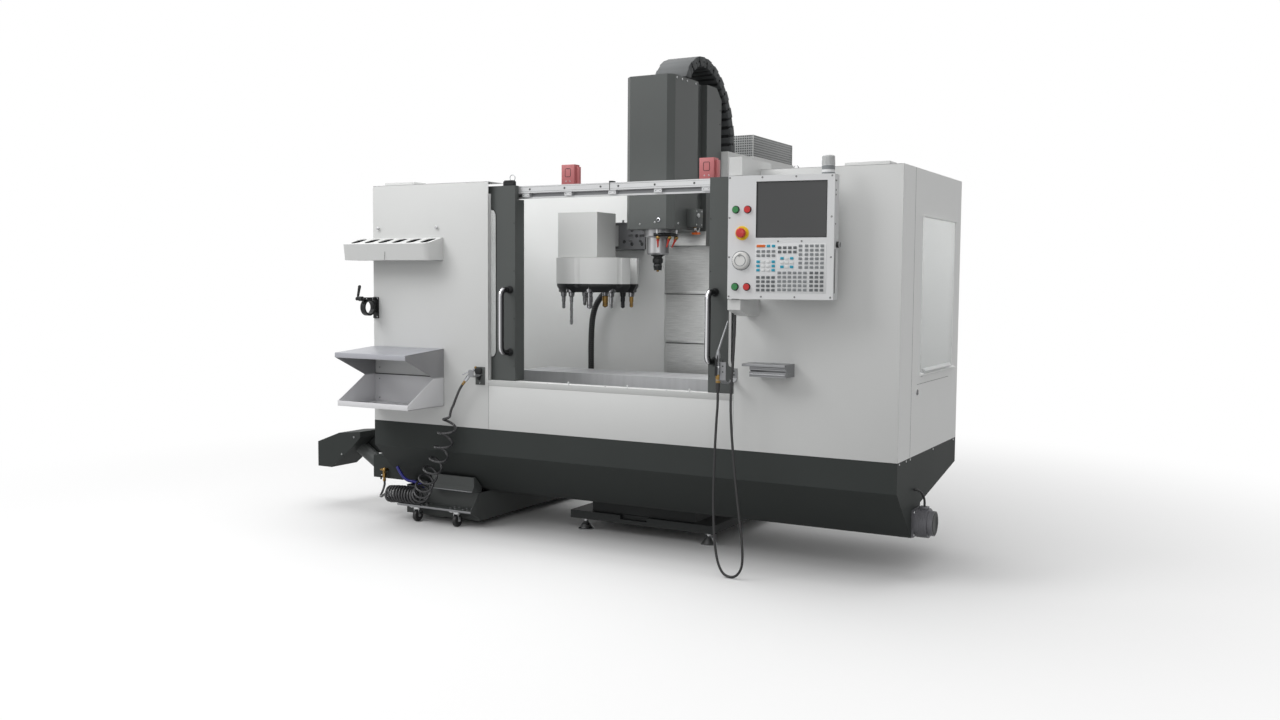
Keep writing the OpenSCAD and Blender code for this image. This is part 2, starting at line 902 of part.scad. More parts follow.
module chip_pan() {
    color("darkslategray")
        in_place()
            difference() {
                union() {
                    along_x([-half_w, half_w])
                        polygon(band(pan_line, sheet));
                    for (x = [-half_w, half_w - sheet])
                        along_x([x, x + sheet])
                            polygon(pan_line);
                }
                slab([-deck_h, deck_h], [pedestal_y - 10, enclosure_d + 1], [0, panel_bottom + 1]);
                rod_x(20, [half_w - 2 * sheet, half_w + 1], auger_y, auger_z);
                rod_x(auger_r - 2, [-half_w - 1, -half_w + 2 * sheet], auger_y, auger_z);
            }
}

module top_rail() {
    rail_line = [
        [rail_y, rail_z[0]], [rail_y + 24, rail_z[0]], [rail_y + 24, rail_z[1] - sheet],
        [rail_back, rail_z[1] - sheet], [rail_back, rail_z[1]], [rail_y, rail_z[1]]
    ];
    bar_y = [rail_y + 20, rail_y + 28];
    color("silver")
        in_place()
            union() {
                along_x([-half_w + sheet, half_w - sheet])
                    polygon(rail_line);
                for (n = [-2 : 2])
                    slab(around(n * 240, -20, 20), [rail_y + 6, bar_y[1]], [rail_z[0] - 18, rail_z[0]]);
                slab([-open_h + 4, open_h - 4], bar_y, [rail_z[0] - 26, rail_z[0] - 18]);
            }
}

module interlock_boxes() {
    color("lightcoral")
        in_place()
            for (x = interlock_x)
                difference() {
                    slab([x, x + interlock_w], [interlock_y, rail_back - 6], [rail_z[1], rail_z[1] + interlock_hgt]);
                    slab([x + 10, x + interlock_w - 10], [interlock_y - 1, interlock_y + 8],
                        [rail_z[1] + 12, rail_z[1] + interlock_hgt - 12]);
                }
}

// The right-hand door; the left one mirrors it
module door_frame() {
    w = door_rail_w;
    x = [door_open, door_open + door_w];
    back = door_y + door_t;
    difference() {
        union() {
            slab(x, [door_y, back], door_z);
            slab([x[0], x[0] + sheet], [back, back + return_d], [door_z[0], rail_z[0] - 30]);
            slab([x[0], x[0] + 24], [back + return_d - sheet, back + return_d], [door_z[0], rail_z[0] - 30]);
        }
        translate([x[0] + w, 0, door_z[0] + w])
            along_y([door_y - 1, back + 1])
                rounded(door_w - 2 * w, door_z[1] - door_z[0] - 2 * w, 28);
    }
}

module door_pane() {
    lap = 14;
    w = door_rail_w - lap;
    slab([door_open + w, door_open + door_w - w], [door_y + door_t, door_y + door_t + 5],
        [door_z[0] + w, door_z[1] - w]);
}

module door_handle() {
    x = door_open + 30;
    bend = 26;
    stand = 74;
    z = [917, 917 + handle_l];
    bar_y = door_y - stand;
    translate([x, 0, 0]) {
        rod_z(handle_r, 0, bar_y, [z[0] + bend, z[1] - bend]);
        for (end = [0, 1])
            translate([0, bar_y + bend, z[end] + (end == 0 ? bend : -bend)])
                rotate([0, 90, 0])
                    rotate([0, 0, end == 0 ? -90 : 180])
                        rotate_extrude(angle = 90)
                            translate([bend, 0])
                                circle(handle_r);
        for (h = z)
            rod_y(handle_r, 0, [bar_y + bend, door_y], h);
        for (h = z)
            rod_y(handle_r + 4, 0, [door_y - 12, door_y], h);
    }
}

module left_door() {
    color("gray")
        in_place()
            mirror([1, 0, 0])
                door_frame();
}

module right_door() {
    color("gray")
        in_place()
            door_frame();
}

module left_door_window() {
    color("lightcyan", 0.5)
        in_place()
            mirror([1, 0, 0])
                door_pane();
}

module right_door_window() {
    color("lightcyan", 0.5)
        in_place()
            door_pane();
}

module left_door_handle() {
    color("white")
        in_place()
            mirror([1, 0, 0])
                door_handle();
}

module right_door_handle() {
    color("white")
        in_place()
            door_handle();
}

// Chip auger
module auger_screw() {
    flight_l = enclosure_w - 40;
    turns = flight_l / auger_pitch;
    color("darkgray")
        in_place()
            translate([-half_w + 20, auger_y, auger_z])
                rotate([0, 90, 0])
                    union() {
                        linear_extrude(flight_l, twist = -360 * turns, slices = round(turns * 8), $fn = 8)
                            union() {
                                circle(16, $fn = 8);
                                translate([0, -6])
                                    square([auger_r, 12]);
                            }
                        translate([0, 0, flight_l])
                            cylinder(r = 15, h = 60);
                    }
}

module auger_motor() {
    color("dimgray")
        in_place()
            difference() {
                union() {
                    slab([half_w, half_w + 10], [auger_y - 58, auger_y + 58], [auger_z - 58, auger_z + 58]);
                    rod_x(motor_r, [half_w + 10, motor_end - 22], auger_y, auger_z);
                    rod_x(motor_r - 9, [motor_end - 22, motor_end], auger_y, auger_z);
                }
                rod_x(15 + run, [half_w - 1, half_w + 45], auger_y, auger_z);
            }
}

module chip_chute() {
    bore_at = [chute_left + 200, 353];
    tube_l = 250;
    color("darkslategray")
        in_place()
            difference() {
                union() {
                    along_y(chute_y)
                        polygon(chute_line);
                    slab([outlet_x, -half_w], [auger_y - 65, auger_y + 65], [trough_floor, auger_z + 60]);
                    translate([bore_at[0], auger_y, bore_at[1]])
                        rotate([0, 90 + tube_tilt, 0])
                            cylinder(r = tube_r, h = tube_l);
                }
                along_y([chute_y[0] + sheet, chute_y[1] - sheet])
                    polygon(inset(chute_line, sheet));
                slab([chute_left + sheet, chute_left + 96], [chute_y[0] + sheet, chute_y[1] - sheet], [200, 240]);
                slab([outlet_x + sheet, -half_w + 1], [auger_y - 62, auger_y + 62],
                    [trough_floor + sheet, auger_z + 57]);
                translate([bore_at[0], auger_y, bore_at[1]])
                    rotate([0, 90 + tube_tilt, 0])
                        cylinder(r = tube_r - sheet, h = tube_l + 1);
            }
}

// Coolant tank on casters
module coolant_tank() {
    x = tank_x;
    wall = 3;
    tank_line = [
        [tank_y[0], 30], [tank_y[1], 30], [tank_y[1], tank_top], [tank_y[0] + 40, tank_top], [tank_y[0], ledge_z + 10]
    ];
    color("darkslategray")
        in_place() {
            difference() {
                along_x(x)
                    polygon(tank_line);
                along_x([x[0] + wall, x[1] - wall])
                    polygon(inset(tank_line, wall));
                slab([x[0] + 40, x[1] - 40], [tank_y[0] + 260, tank_y[1] - 60], [tank_top - 10, tank_top + 1]);
            }
            slab(x, [tank_y[0] - ledge_d, tank_y[0] + wall], [ledge_z, ledge_z + 10]);
            slab(x, [tank_y[1] - wall, tank_y[1] + ledge_d], [ledge_z, ledge_z + 10]);
            along_x([x[0] + 195, x[1] - 40])
                polygon([
                    [tank_y[0] - 50, ledge_z + 8], [tank_y[0] + 2, ledge_z + 8], [tank_y[0] + 42, tank_top - 2],
                    [tank_y[0] + 42, tank_top + 15], [tank_y[0] - 6, tank_top + 50], [tank_y[0] - 50, tank_top + 50]
                ]);
        }
}

module tank_casters() {
    axle_z = wheel_r;
    color("black")
        in_place()
            for (x = caster_x, y = caster_y) {
                slab(around(x, -30, 30), around(y, -30, 30), [ledge_z - 5, ledge_z]);
                for (side = [-17, 13])
                    slab(around(x + side, 0, 4), around(y, -11, 11), [axle_z - 10, ledge_z - 5]);
                rod_x(wheel_r, around(x, -11, 11), y, axle_z);
                rod_x(5, around(x, -21, 21), y, axle_z);
            }
}

module control_cabinet() {
    vent_y = [cabinet_y[0], cabinet_y[1] - 20];
    color("gainsboro")
        in_place() {
            difference() {
                slab(cabinet_x, cabinet_y, cabinet_z);
                slab([cabinet_x[0] + 6, cabinet_x[1] - 6], [cabinet_y[0] + 6, cabinet_y[1] - 12],
                    [cabinet_z[0] - 1, cabinet_z[1] - 6]);
                slab([cabinet_x[0] + 30, cabinet_x[1] - 30], [cabinet_y[1] - 3, cabinet_y[1] + 1],
                    [cabinet_z[0] + 60, cabinet_z[1] - 40]);
            }
            slab([cabinet_x[0] + 120, cabinet_x[1] - 5], vent_y, [cabinet_z[1], cabinet_z[1] + vent_h]);
        }
}

// Control pendant, in its own frame: x right along its face, y back
module on_pendant() {
    translate([pivot[0], pivot[1], 0])
        rotate([0, 0, pendant_yaw])
            children();
}

module pendant_arm() {
    x = [arm_left, arm_left + arm_w];
    color("gainsboro")
        in_place() {
            union() {
                along_x(x)
                    polygon([
                        [pivot[1] - 30, pendant_top + 3], [-2, pendant_top + 3], [-2, panel_top],
                        [110, panel_top], [110, panel_top + 35], [pivot[1] - 30, panel_top + 35]
                    ]);
                rod_z(pivot_r, pivot[0], pivot[1], [pendant_top - 38, pendant_top + 4]);
            }
            union() {
                along_x(x)
                    polygon([
                        [pivot[1] - 30, pendant_z - 3], [pivot[1] - 30, pendant_z - 46], [pivot[1] + 75, pendant_z - 74],
                        [0, pendant_z - 74], [0, pendant_z - 3]
                    ]);
                rod_z(pivot_r, pivot[0], pivot[1], [pendant_z - 4, pendant_z + 38]);
            }
        }
}

module stem_bore(at, r) {
    rod_y(r, at[0], [face_y - 10, face_y + 30], at[1]);
}

module pendant_housing() {
    beacon = [pendant_left + pendant_w - 38, 5];
    color("whitesmoke")
        in_place()
            on_pendant()
                difference() {
                    union() {
                        slab([pendant_left, pendant_left + pendant_w], [face_y, face_y + pendant_d],
                            [pendant_z, pendant_top]);
                        rod_y(27, stop_at[0], [face_y - 3, face_y], stop_at[1]);
                        rod_z(26, beacon[0], beacon[1], [pendant_top, pendant_top + 42]);
                        rod_z(24, beacon[0], beacon[1], [pendant_top + 42, pendant_top + 75]);
                        rod_x(12, [pendant_left + pendant_w, pendant_left + pendant_w + 14], 5, pendant_z + 222);
                    }
                    slab(screen_x, [face_y - 1, face_y + 8], screen_z);
                    for (x = button_x, z = [power_z, cycle_z])
                        stem_bore([x, z], stem_r + run);
                    stem_bore(stop_at, stem_r + run);
                    stem_bore(jog_at, stem_r + run);
                    rod_z(pivot_r + run, 0, 0, [pendant_z - 1, pendant_z + 40]);
                    rod_z(pivot_r + run, 0, 0, [pendant_top - 40, pendant_top + 1]);
                }
}

module pendant_screen() {
    color("black")
        in_place()
            on_pendant()
                slab(screen_x, [face_y + 4, face_y + 8], screen_z);
}

// Key positions in rows and columns on the membrane
module key_block(x, z, columns, rows, pitch) {
    for (c = [0 : columns - 1], r = [0 : rows - 1])
        translate([x + c * pitch[0], face_y - 2.5, z - r * pitch[1]])
            cube([15.5, 2, 11.5]);
}

module keypad() {
    pitch = [21.2, 17.2];
    top = pendant_z + 211;
    x = 98;
    color("gray")
        in_place()
            on_pendant()
                union() {
                    slab([x - 6, 386], [face_y - 1, face_y], [pendant_z + 26, pendant_z + 226]);
                    key_block(x, top - 2 * pitch[1] - 8, 4, 2, pitch);
                    key_block(x, top, 4, 1, pitch);
                    key_block(x, top - 3.7 * pitch[1], 1, 3, pitch);
                    key_block(x + 3 * pitch[0], top - 3.7 * pitch[1], 1, 3, pitch);
                    key_block(x, top - 7.4 * pitch[1], 4, 4, pitch);
                    key_block(x + 89, top - 0.3 * pitch[1], 4, 2, pitch);
                    key_block(x + 100, top - 2.9 * pitch[1], 2, 2, [38, 36]);
                    key_block(x + 175, top, 1, 6, pitch);
                    key_block(x + 200, top, 4, 6, pitch);
                    key_block(x + 89, top - 6.3 * pitch[1], 6, 5, pitch);
                    key_block(x + 221, top - 6.3 * pitch[1], 3, 5, pitch);
                }
}

module push_button(at) {
    gap = button_travel + 0.5;
    on_pendant() {
        rod_y(stem_r, at[0], [face_y - gap - 2, face_y + 22], at[1]);
        rod_y(button_r, at[0], [face_y - gap - 7, face_y - gap], at[1]);
    }
}

module power_on_button() {
    color("green")
        in_place()
            push_button([button_x[0], power_z]);
}

module power_off_button() {
    color("red")
        in_place()
            push_button([button_x[1], power_z]);
}

module cycle_start_button() {
    color("green")
        in_place()
            push_button([button_x[0], cycle_z]);
}

module feed_hold_button() {
    color("red")
        in_place()
            push_button([button_x[1], cycle_z]);
}

module e_stop() {
    gap = button_travel + 4;
    color("red")
        in_place()
            on_pendant()
                translate([stop_at[0], face_y, stop_at[1]])
                    rotate([90, 0, 0])
                        rotate_extrude()
                            polygon([
                                [0, -22], [stem_r, -22], [stem_r, gap], [15, gap], [20, gap + 8],
                                [20, gap + 20], [16, gap + 26], [0, gap + 28]
                            ]);
}

module jog_knob() {
    color("white")
        in_place()
            on_pendant()
                translate([jog_at[0], face_y, jog_at[1]])
                    rotate([90, 0, 0])
                        difference() {
                            rotate_extrude()
                                polygon([
                                    [0, -24], [stem_r, -24], [stem_r, seat], [jog_r, seat], [jog_r, 5],
                                    [jog_r - 5, 16], [jog_r - 10, 18], [0, 18]
                                ]);
                            translate([0, jog_r - 15, 14])
                                cylinder(r = 8, h = 6);
                        }
}

// Accessories on the left front panel
module tool_rack() {
    x = [rack_x, rack_x + rack_w];
    count = 6;
    rack_line = [
        [0, rack_z[0]], [0, rack_z[1]], [-rack_d, rack_z[1] - 33], [-rack_d + 10, rack_z[0]]
    ];
    color("gainsboro")
        in_place()
            difference() {
                along_x(x)
                    polygon(rack_line);
                along_x([x[0] + sheet, x[1] - sheet])
                    polygon(inset(rack_line, sheet));
                for (n = [0 : count - 1])
                    rod_z(rack_hole_r, x[0] + rack_w * (n + 0.5) / count, -rack_d / 2, [rack_z[0] + 10, rack_z[1] + 1]);
                slab([x[0] + 20, x[1] - 20], [-rack_d + 30, -20], [rack_z[0] - 1, rack_z[0] + 10]);
            }
}

module parts_bin() {
    x = [bin_x, bin_x + bin_w];
    waist = [-80, 779];
    side_line = [
        [0, bin_z[0]], [-bin_d + 16, bin_z[0]], [-bin_d + 16, bin_z[0] + 22], waist,
        [-bin_d, bin_z[1] - 30], [-bin_d, bin_z[1] - 8], [0, bin_z[1]]
    ];
    color("silver")
        in_place()
            union() {
                for (side = [x[0], x[1] - sheet])
                    along_x([side, side + sheet])
                        polygon(side_line);
                along_x(x)
                    polygon(band([[0, bin_z[1] - sheet], [-bin_d + sheet, bin_z[1] - 8 - sheet],
                        [-bin_d + sheet, bin_z[1] - 30]], -sheet));
                along_x(x)
                    polygon(band([[-bin_d + 16 + sheet, bin_z[0] + 22], [-bin_d + 16 + sheet, bin_z[0] + sheet],
                        [-sheet, bin_z[0] + sheet], [-sheet, waist[1] + 20]], -sheet));
            }
}

module holder_vise() {
    x = [-half_w, -half_w + vise_l];
    color("black")
        in_place()
            difference() {
                union() {
                    slab([x[0], x[1] - 6], [-8, 0], [vise_z - 57, vise_z + 53]);
                    rod_x(44, x, vise_y, vise_z);
                    slab(x, [vise_y, -4], [vise_z - 30, vise_z + 44]);
                    slab(x, [vise_lever_at[0] - 10, vise_y], [vise_z + 34, vise_lever_at[1] + 10]);
                }
                rod_x(vise_bore_r, [x[0] - 1, x[1] + 1], vise_y, vise_z);
                rod_x(5 + run, [x[0] - 1, x[1] + 1], vise_lever_at[0], vise_lever_at[1]);
            }
}

module vise_lever() {
    x = -half_w;
    color("black")
        in_place()
            union() {
                rod_x(5, [x - 13, x + vise_l], vise_lever_at[0], vise_lever_at[1]);
                rod_x(9, [x - 13, x - seat], vise_lever_at[0], vise_lever_at[1]);
                translate([x - 7, vise_lever_at[0], vise_lever_at[1]])
                    rotate([-14, 0, 0]) {
                        cylinder(r1 = 5, r2 = 6, h = 62);
                        translate([0, 0, 62])
                            sphere(7);
                    }
            }
}

// Gun hooks and the utility tray on the front panels
module panel_brackets() {
    color("dimgray")
        in_place() {
            along_x([wash_hook_x, wash_hook_x + hook_w])
                polygon(band([[-sheet, 892], [-sheet, 850], [-20, 836], [-wash_hook_y + 20, 836],
                    [-wash_hook_y, 850], [-wash_hook_y, 926]], sheet));
            along_x([air_hook_x, air_hook_x + 55])
                polygon(band([[-sheet, 840], [-sheet, 753]], sheet));
            along_x([air_hook_x + 14, air_hook_x + 42])
                polygon(band([[-sheet, 806], [-40, 797.7], [-76, 797.7], [-76, 828]], sheet));
            union() {
                slab(tray_x, [-tray_d, 0], [tray_z[1] - sheet, tray_z[1]]);
                slab(tray_x, [-sheet, 0], [tray_z[0], tray_z[1]]);
                for (x = [tray_x[0] + 30, tray_x[1] - sheet])
                    along_x([x, x + sheet])
                        polygon([[0, tray_z[0]], [-tray_d + 20, tray_z[0]], [-tray_d + 20, tray_z[1]], [0, tray_z[1]]]);
                for (z = [tray_z[0], tray_z[1] - 26])
                    slab([tray_x[0] + 30, tray_x[1]], [-tray_d + 12, -tray_d + 20], [z, z + 22]);
            }
        }
}

module air_gun() {
    color("silver")
        in_place()
            translate(air_gun_at)
                rotate([0, air_gun_tilt, 0])
                    union() {
                        rotate_extrude()
                            polygon([[0, 0], [6, 0], [6, 22], [9, 24], [9, 70], [7, 88], [4, 100], [3, 118], [0, 118]]);
                        slab([-13, -4], [-4, 4], [73, 83]);
                        rod_y(5, -13, [-4, 4], 78);
                    }
}

module air_trigger() {
    color("silver")
        in_place()
            translate(air_gun_at)
                rotate([0, air_gun_tilt, 0])
                    translate([-13, 0, 78])
                        union() {
                            for (y = [-6.3, 4.3])
                                translate([0, y, 0])
                                    rotate([-90, 0, 0])
                                        cylinder(r = 5, h = 2);
                            for (y = [-6.3, 4.3])
                                translate([-20, y, -45])
                                    rotate([0, 24, 0])
                                        cube([3, 2, 50]);
                            translate([-20, -6.3, -45])
                                cube([4, 12.6, 4]);
                        }
}

module wash_gun() {
    at = wash_gun_at;
    color("dimgray")
        in_place()
            translate([at[0], at[1], 0])
                union() {
                    rotate_extrude()
                        polygon([
                            [0, 806], [8, 806], [8, 842], [gun_r, 846], [gun_r, 918], [6, 926], [6, 936],
                            [gun_r, 944], [gun_r, 958], [5, 978], [0, 980]
                        ]);
                    translate([0, 0, 972])
                        rotate([-24, 8, 0])
                            cylinder(r1 = 5, r2 = 3, h = 140);
                    slab([-3, 3], [-18, 0], [942, 954]);
                    rod_x(2.2, [-6.5, 6.5], trigger_pin[0], trigger_pin[1]);
                }
}

module wash_trigger() {
    at = wash_gun_at;
    color("silver")
        in_place()
            translate([at[0], at[1], 0])
                difference() {
                    union() {
                        for (x = [-5.3, 3.3]) {
                            rod_x(4.5, [x, x + 2], trigger_pin[0], trigger_pin[1]);
                            slab([x, x + 2], [-19, -13.5], [926, trigger_pin[1]]);
                        }
                        along_x([-5.3, 5.3])
                            polygon([[-20, 938], [-17.5, 938], [-17.5, 922], [-20, 868], [-23, 868], [-20, 922]]);
                    }
                    rod_x(2.2 + run, [-6, 6], trigger_pin[0], trigger_pin[1]);
                }
}

module wash_hose() {
    color("black")
        in_place()
            hose(wash_route, hose_r, [0, 1, 0.02]);
}

module air_hose() {
    color("black")
        in_place() {
            hose(air_route, air_r, [0, 1, 0], 3);
            hose(tail_route, air_r, [0.2, -0.6, 0.5], 3);
        }
}

module air_coil() {
    color("black")
        in_place()
            hose(coil_route, coil_r, [0.3, 1, -0.2], 3, 10);
}

module air_valve() {
    at = valve_at;
    color("goldenrod")
        in_place()
            union() {
                rod_z(7, at[0], at[1], [at[2], at[2] + 62]);
                rod_y(8, at[0], [at[1], auger_y - 65], at[2] + 62);
                translate([at[0], at[1], at[2] + 62])
                    sphere(12);
                rod_x(6, [at[0] - 26, at[0] - 5], at[1], at[2] + 62);
            }
}

base_casting();
levelling_feet();
column();
saddle();
table();
head_cover();
spindle_cartridge();
spindle();
coolant_manifold();
z_cover_top();
z_cover_mid();
z_cover_bottom();
cable_chain();
changer_bracket();
changer_slide();
carousel();
pocket_forks();
carousel_tools();
conduits();
front_panels();
enclosure_walls();
side_windows();
chip_pan();
top_rail();
interlock_boxes();
left_door();
right_door();
left_door_window();
right_door_window();
left_door_handle();
right_door_handle();
auger_screw();
auger_motor();
chip_chute();
coolant_tank();
tank_casters();
control_cabinet();
pendant_arm();
pendant_housing();
pendant_screen();
keypad();
e_stop();
jog_knob();
power_on_button();
power_off_button();
cycle_start_button();
feed_hold_button();
tool_rack();
parts_bin();
holder_vise();
vise_lever();
panel_brackets();
air_gun();
air_trigger();
wash_gun();
wash_trigger();
wash_hose();
air_hose();
air_coil();
air_valve();
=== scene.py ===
import math

import bmesh
import bpy
from mathutils import Matrix, Vector


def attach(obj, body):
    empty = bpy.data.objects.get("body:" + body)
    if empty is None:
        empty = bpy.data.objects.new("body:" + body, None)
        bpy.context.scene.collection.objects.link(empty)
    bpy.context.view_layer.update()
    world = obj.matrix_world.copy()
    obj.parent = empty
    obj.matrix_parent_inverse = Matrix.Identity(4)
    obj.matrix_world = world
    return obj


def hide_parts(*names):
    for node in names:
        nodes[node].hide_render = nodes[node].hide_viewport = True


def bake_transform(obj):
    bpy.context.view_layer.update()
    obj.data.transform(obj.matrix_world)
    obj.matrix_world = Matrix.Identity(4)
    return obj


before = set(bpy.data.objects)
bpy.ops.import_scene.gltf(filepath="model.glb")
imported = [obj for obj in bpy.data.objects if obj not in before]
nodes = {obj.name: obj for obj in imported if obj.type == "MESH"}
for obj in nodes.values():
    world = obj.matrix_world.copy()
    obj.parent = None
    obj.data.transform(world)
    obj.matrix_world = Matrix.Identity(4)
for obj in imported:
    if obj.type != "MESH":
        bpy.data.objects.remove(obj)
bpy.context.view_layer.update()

# The machine's own millimetres: x from the centre plane, y back from the front panels, z up
OX, OY = -246.5, 799.5


def P(x, y, z):
    return Vector(((x - OX) / 1000, (y - OY) / 1000, z / 1000))


# Camera
cam = bpy.data.objects.new("camera", bpy.data.cameras.new("camera"))
bpy.context.scene.collection.objects.link(cam)
bpy.context.scene.camera = cam
cam.data.sensor_width = 36
cam.data.lens = 1156.09 / 1280 * 36
yaw, pitch, roll = (math.radians(a) for a in (28.9973, 3.9482, 0.39957))
ahead = Vector((-math.sin(yaw) * math.cos(pitch), math.cos(yaw) * math.cos(pitch), -math.sin(pitch)))
side = Vector((math.cos(yaw), math.sin(yaw), 0))
over = side.cross(ahead)
right = math.cos(roll) * side + math.sin(roll) * over
up = -math.sin(roll) * side + math.cos(roll) * over
turn = Matrix((right, up, -ahead)).transposed()
cam.matrix_world = Matrix.Translation(P(4111.9 - 1390, -4566.6, 1270)) @ turn.to_4x4()
cam.data.clip_start, cam.data.clip_end = 0.05, 200


# Materials
def srgb(r, g, b):
    def lin(c):
        c = c / 255
        return c / 12.92 if c <= 0.04045 else ((c + 0.055) / 1.055) ** 2.4
    return (lin(r), lin(g), lin(b), 1)


def node(tree, kind, **values):
    """A new shader node; each value goes to the input of that name, or else to the setting of that name."""
    made = tree.nodes.new("ShaderNode" + kind)
    for key, value in values.items():
        socket = key.replace("_", " ")
        if socket in made.inputs:
            made.inputs[socket].default_value = value
        else:
            setattr(made, key, value)
    return made


def node_of(tree, kind):
    return next(n for n in tree.nodes if n.type == kind)


# How much of the fine and of the slow noise shows in colour and gloss
FINE_SHARE, SLOW_SHARE = 0.35, 0.65


def material(name, color, rough=0.45, metal=0.0, grain=350, bump=0.05, vary=0.06, blotch=3.0,
             stretch=(1, 1, 1), rough_vary=0.08, coat=0.0, **sockets):
    """A surface with a fine grain in its height and a slow drift in its colour and gloss."""
    m = bpy.data.materials.new(name)
    m.use_nodes = True
    t = m.node_tree
    t.nodes.clear()
    join = t.links.new
    b = node(t, "BsdfPrincipled", Metallic=metal, Coat_Weight=coat, **sockets)
    join(b.outputs[0], node(t, "OutputMaterial").inputs[0])
    place = node(t, "Mapping", Scale=stretch)
    join(node(t, "TexCoord").outputs["Object"], place.inputs["Vector"])
    fine = node(t, "TexNoise", Scale=grain, Detail=2)
    slow = node(t, "TexNoise", Scale=blotch, Detail=4)
    for noise in (fine, slow):
        join(place.outputs[0], noise.inputs["Vector"])
    share = node(t, "Math", operation="MULTIPLY")
    share.inputs[1].default_value = SLOW_SHARE
    join(slow.outputs["Fac"], share.inputs[0])
    mixed = node(t, "Math", operation="MULTIPLY_ADD")
    mixed.inputs[1].default_value = FINE_SHARE
    join(fine.outputs["Fac"], mixed.inputs[0])
    join(share.outputs[0], mixed.inputs[2])
    ramp = node(t, "ValToRGB")
    for mark, at, change in zip(ramp.color_ramp.elements, (0.3, 0.7), (1 - vary, 1 + vary)):
        mark.position, mark.color = at, (*(min(1, c * change) for c in color[:3]), 1)
    join(mixed.outputs[0], ramp.inputs[0])
    join(ramp.outputs[0], b.inputs["Base Color"])
    gloss = node(t, "MapRange", To_Min=max(0.02, rough - rough_vary), To_Max=min(1, rough + rough_vary))
    join(mixed.outputs[0], gloss.inputs["Value"])
    join(gloss.outputs[0], b.inputs["Roughness"])
    height = node(t, "Bump", Strength=bump, Distance=0.001)
    join(fine.outputs["Fac"], height.inputs["Height"])
    join(height.outputs[0], b.inputs["Normal"])
    return m


# Grain and drift that several finishes share
POWDER = {"grain": 700, "bump": 0.06, "vary": 0.02}
BUTTON = {"grain": 400, "bump": 0.02, "vary": 0.05, "coat": 0.3}
KEY = {"rough": 0.5, "grain": 600, "bump": 0.06, "vary": 0.04}

light = material("light_powder_coat", srgb(206, 207, 206), 0.42, **POWDER)
# The inner walls are paler than the outer coat: painted light for the inside, which the lamps reach less
wall = material("inner_wall_coat_painted_light", srgb(238, 239, 238), 0.5, **POWDER)
slide_coat = material("changer_coat", srgb(186, 187, 186), 0.45, **POWDER)
tank_coat = material("tank_coat", srgb(72, 75, 74), 0.6, grain=500, bump=0.06, vary=0.04)
motor_grey = material("motor_paint", srgb(104, 104, 108), 0.42, 0.3, grain=400, bump=0.06)
white = material("white_cover_coat", srgb(206, 207, 206), 0.4, grain=600, vary=0.02)
mid = material("grey_powder_coat", srgb(78, 81, 80), 0.45, grain=700, bump=0.07, vary=0.05, Specular_IOR_Level=0.3)
dark = material("charcoal_powder_coat", srgb(58, 61, 60), 0.6, grain=650, bump=0.09, Specular_IOR_Level=0.1)
cast = material("painted_casting", srgb(50, 52, 52), 0.6, grain=160, bump=0.25, vary=0.12, Specular_IOR_Level=0.25)
steel = material("machined_steel", srgb(190, 191, 192), 0.28, 1.0, grain=300, bump=0.04, stretch=(1, 1, 14))
ground = material("ground_steel", srgb(128, 130, 132), 0.35, 1.0, grain=240, vary=0.08, stretch=(14, 1, 1))
sheet = material("brushed_sheet", srgb(206, 207, 206), 0.36, 0.85, grain=150, vary=0.3, blotch=24, stretch=(0.5, 1, 26))
alu = material("extruded_aluminium", srgb(196, 197, 198), 0.4, 0.6, grain=200, bump=0.04, vary=0.04,
               stretch=(0.5, 14, 14))
chrome = material("polished_chrome", srgb(176, 178, 181), 0.1, 1.0, grain=500, bump=0.004, vary=0.02, rough_vary=0.03)
brass = material("turned_brass", srgb(140, 112, 66), 0.28, 1.0, bump=0.04, vary=0.1)
black = material("black_plastic", srgb(30, 31, 32), 0.5, grain=800, bump=0.12, vary=0.15, Specular_IOR_Level=0.3)
link = material("chain_plastic", srgb(74, 76, 77), 0.62, grain=500, bump=0.12, vary=0.08, Specular_IOR_Level=0.2)
plated = material("plated_steel", srgb(136, 137, 139), 0.38, 0.7, grain=260)
oxide = material("black_oxide", srgb(38, 39, 40), 0.38, 0.6, grain=500, vary=0.15)
coil_rubber = material("coil_hose", srgb(54, 54, 56), 0.26, grain=500, bump=0.04, vary=0.04)
rubber = material("hose_rubber", srgb(32, 32, 33), 0.48, grain=700, bump=0.1, vary=0.15)
red_case = material("faded_red_case", srgb(180, 104, 106), 0.5, grain=700, bump=0.08)
red = material("red_button", srgb(190, 26, 26), 0.3, **BUTTON)
green = material("green_button", srgb(34, 120, 60), 0.3, **BUTTON)
yellow = material("yellow_ring", srgb(226, 190, 30), 0.4, grain=400, bump=0.03, vary=0.04)
knob = material("white_knob", srgb(214, 214, 212), 0.4, grain=500, bump=0.04, vary=0.03)
screen = material("screen_glass", srgb(46, 47, 48), 0.14, grain=500, bump=0.0, vary=0.03, rough_vary=0.02, coat=0.5)
bezel = material("pendant_face", srgb(214, 215, 216), 0.42, grain=700, vary=0.02)
table_grey = material("table_steel", srgb(194, 195, 197), 0.4, 0.3, grain=240, vary=0.08, stretch=(14, 1, 1))
bracket_grey = material("bracket_plate", srgb(98, 99, 101), 0.45, 0.3, grain=300)
shelf = material("shelf_steel", srgb(168, 169, 175), 0.36, 0.4, grain=200, bump=0.04, vary=0.05, stretch=(0.5, 12, 12))
blue = material("blue_hose", srgb(34, 34, 130), 0.4, grain=500, vary=0.1)
nozzle_red = material("nozzle_red", srgb(205, 60, 45), 0.4, grain=400, bump=0.03, vary=0.05)
key_grey = material("key_grey", srgb(122, 126, 128), **KEY)
key_dark = material("key_dark", srgb(86, 90, 92), **KEY)
key_cyan = material("key_cyan", srgb(32, 146, 172), **KEY)
key_orange = material("key_orange", srgb(206, 96, 28), **KEY)
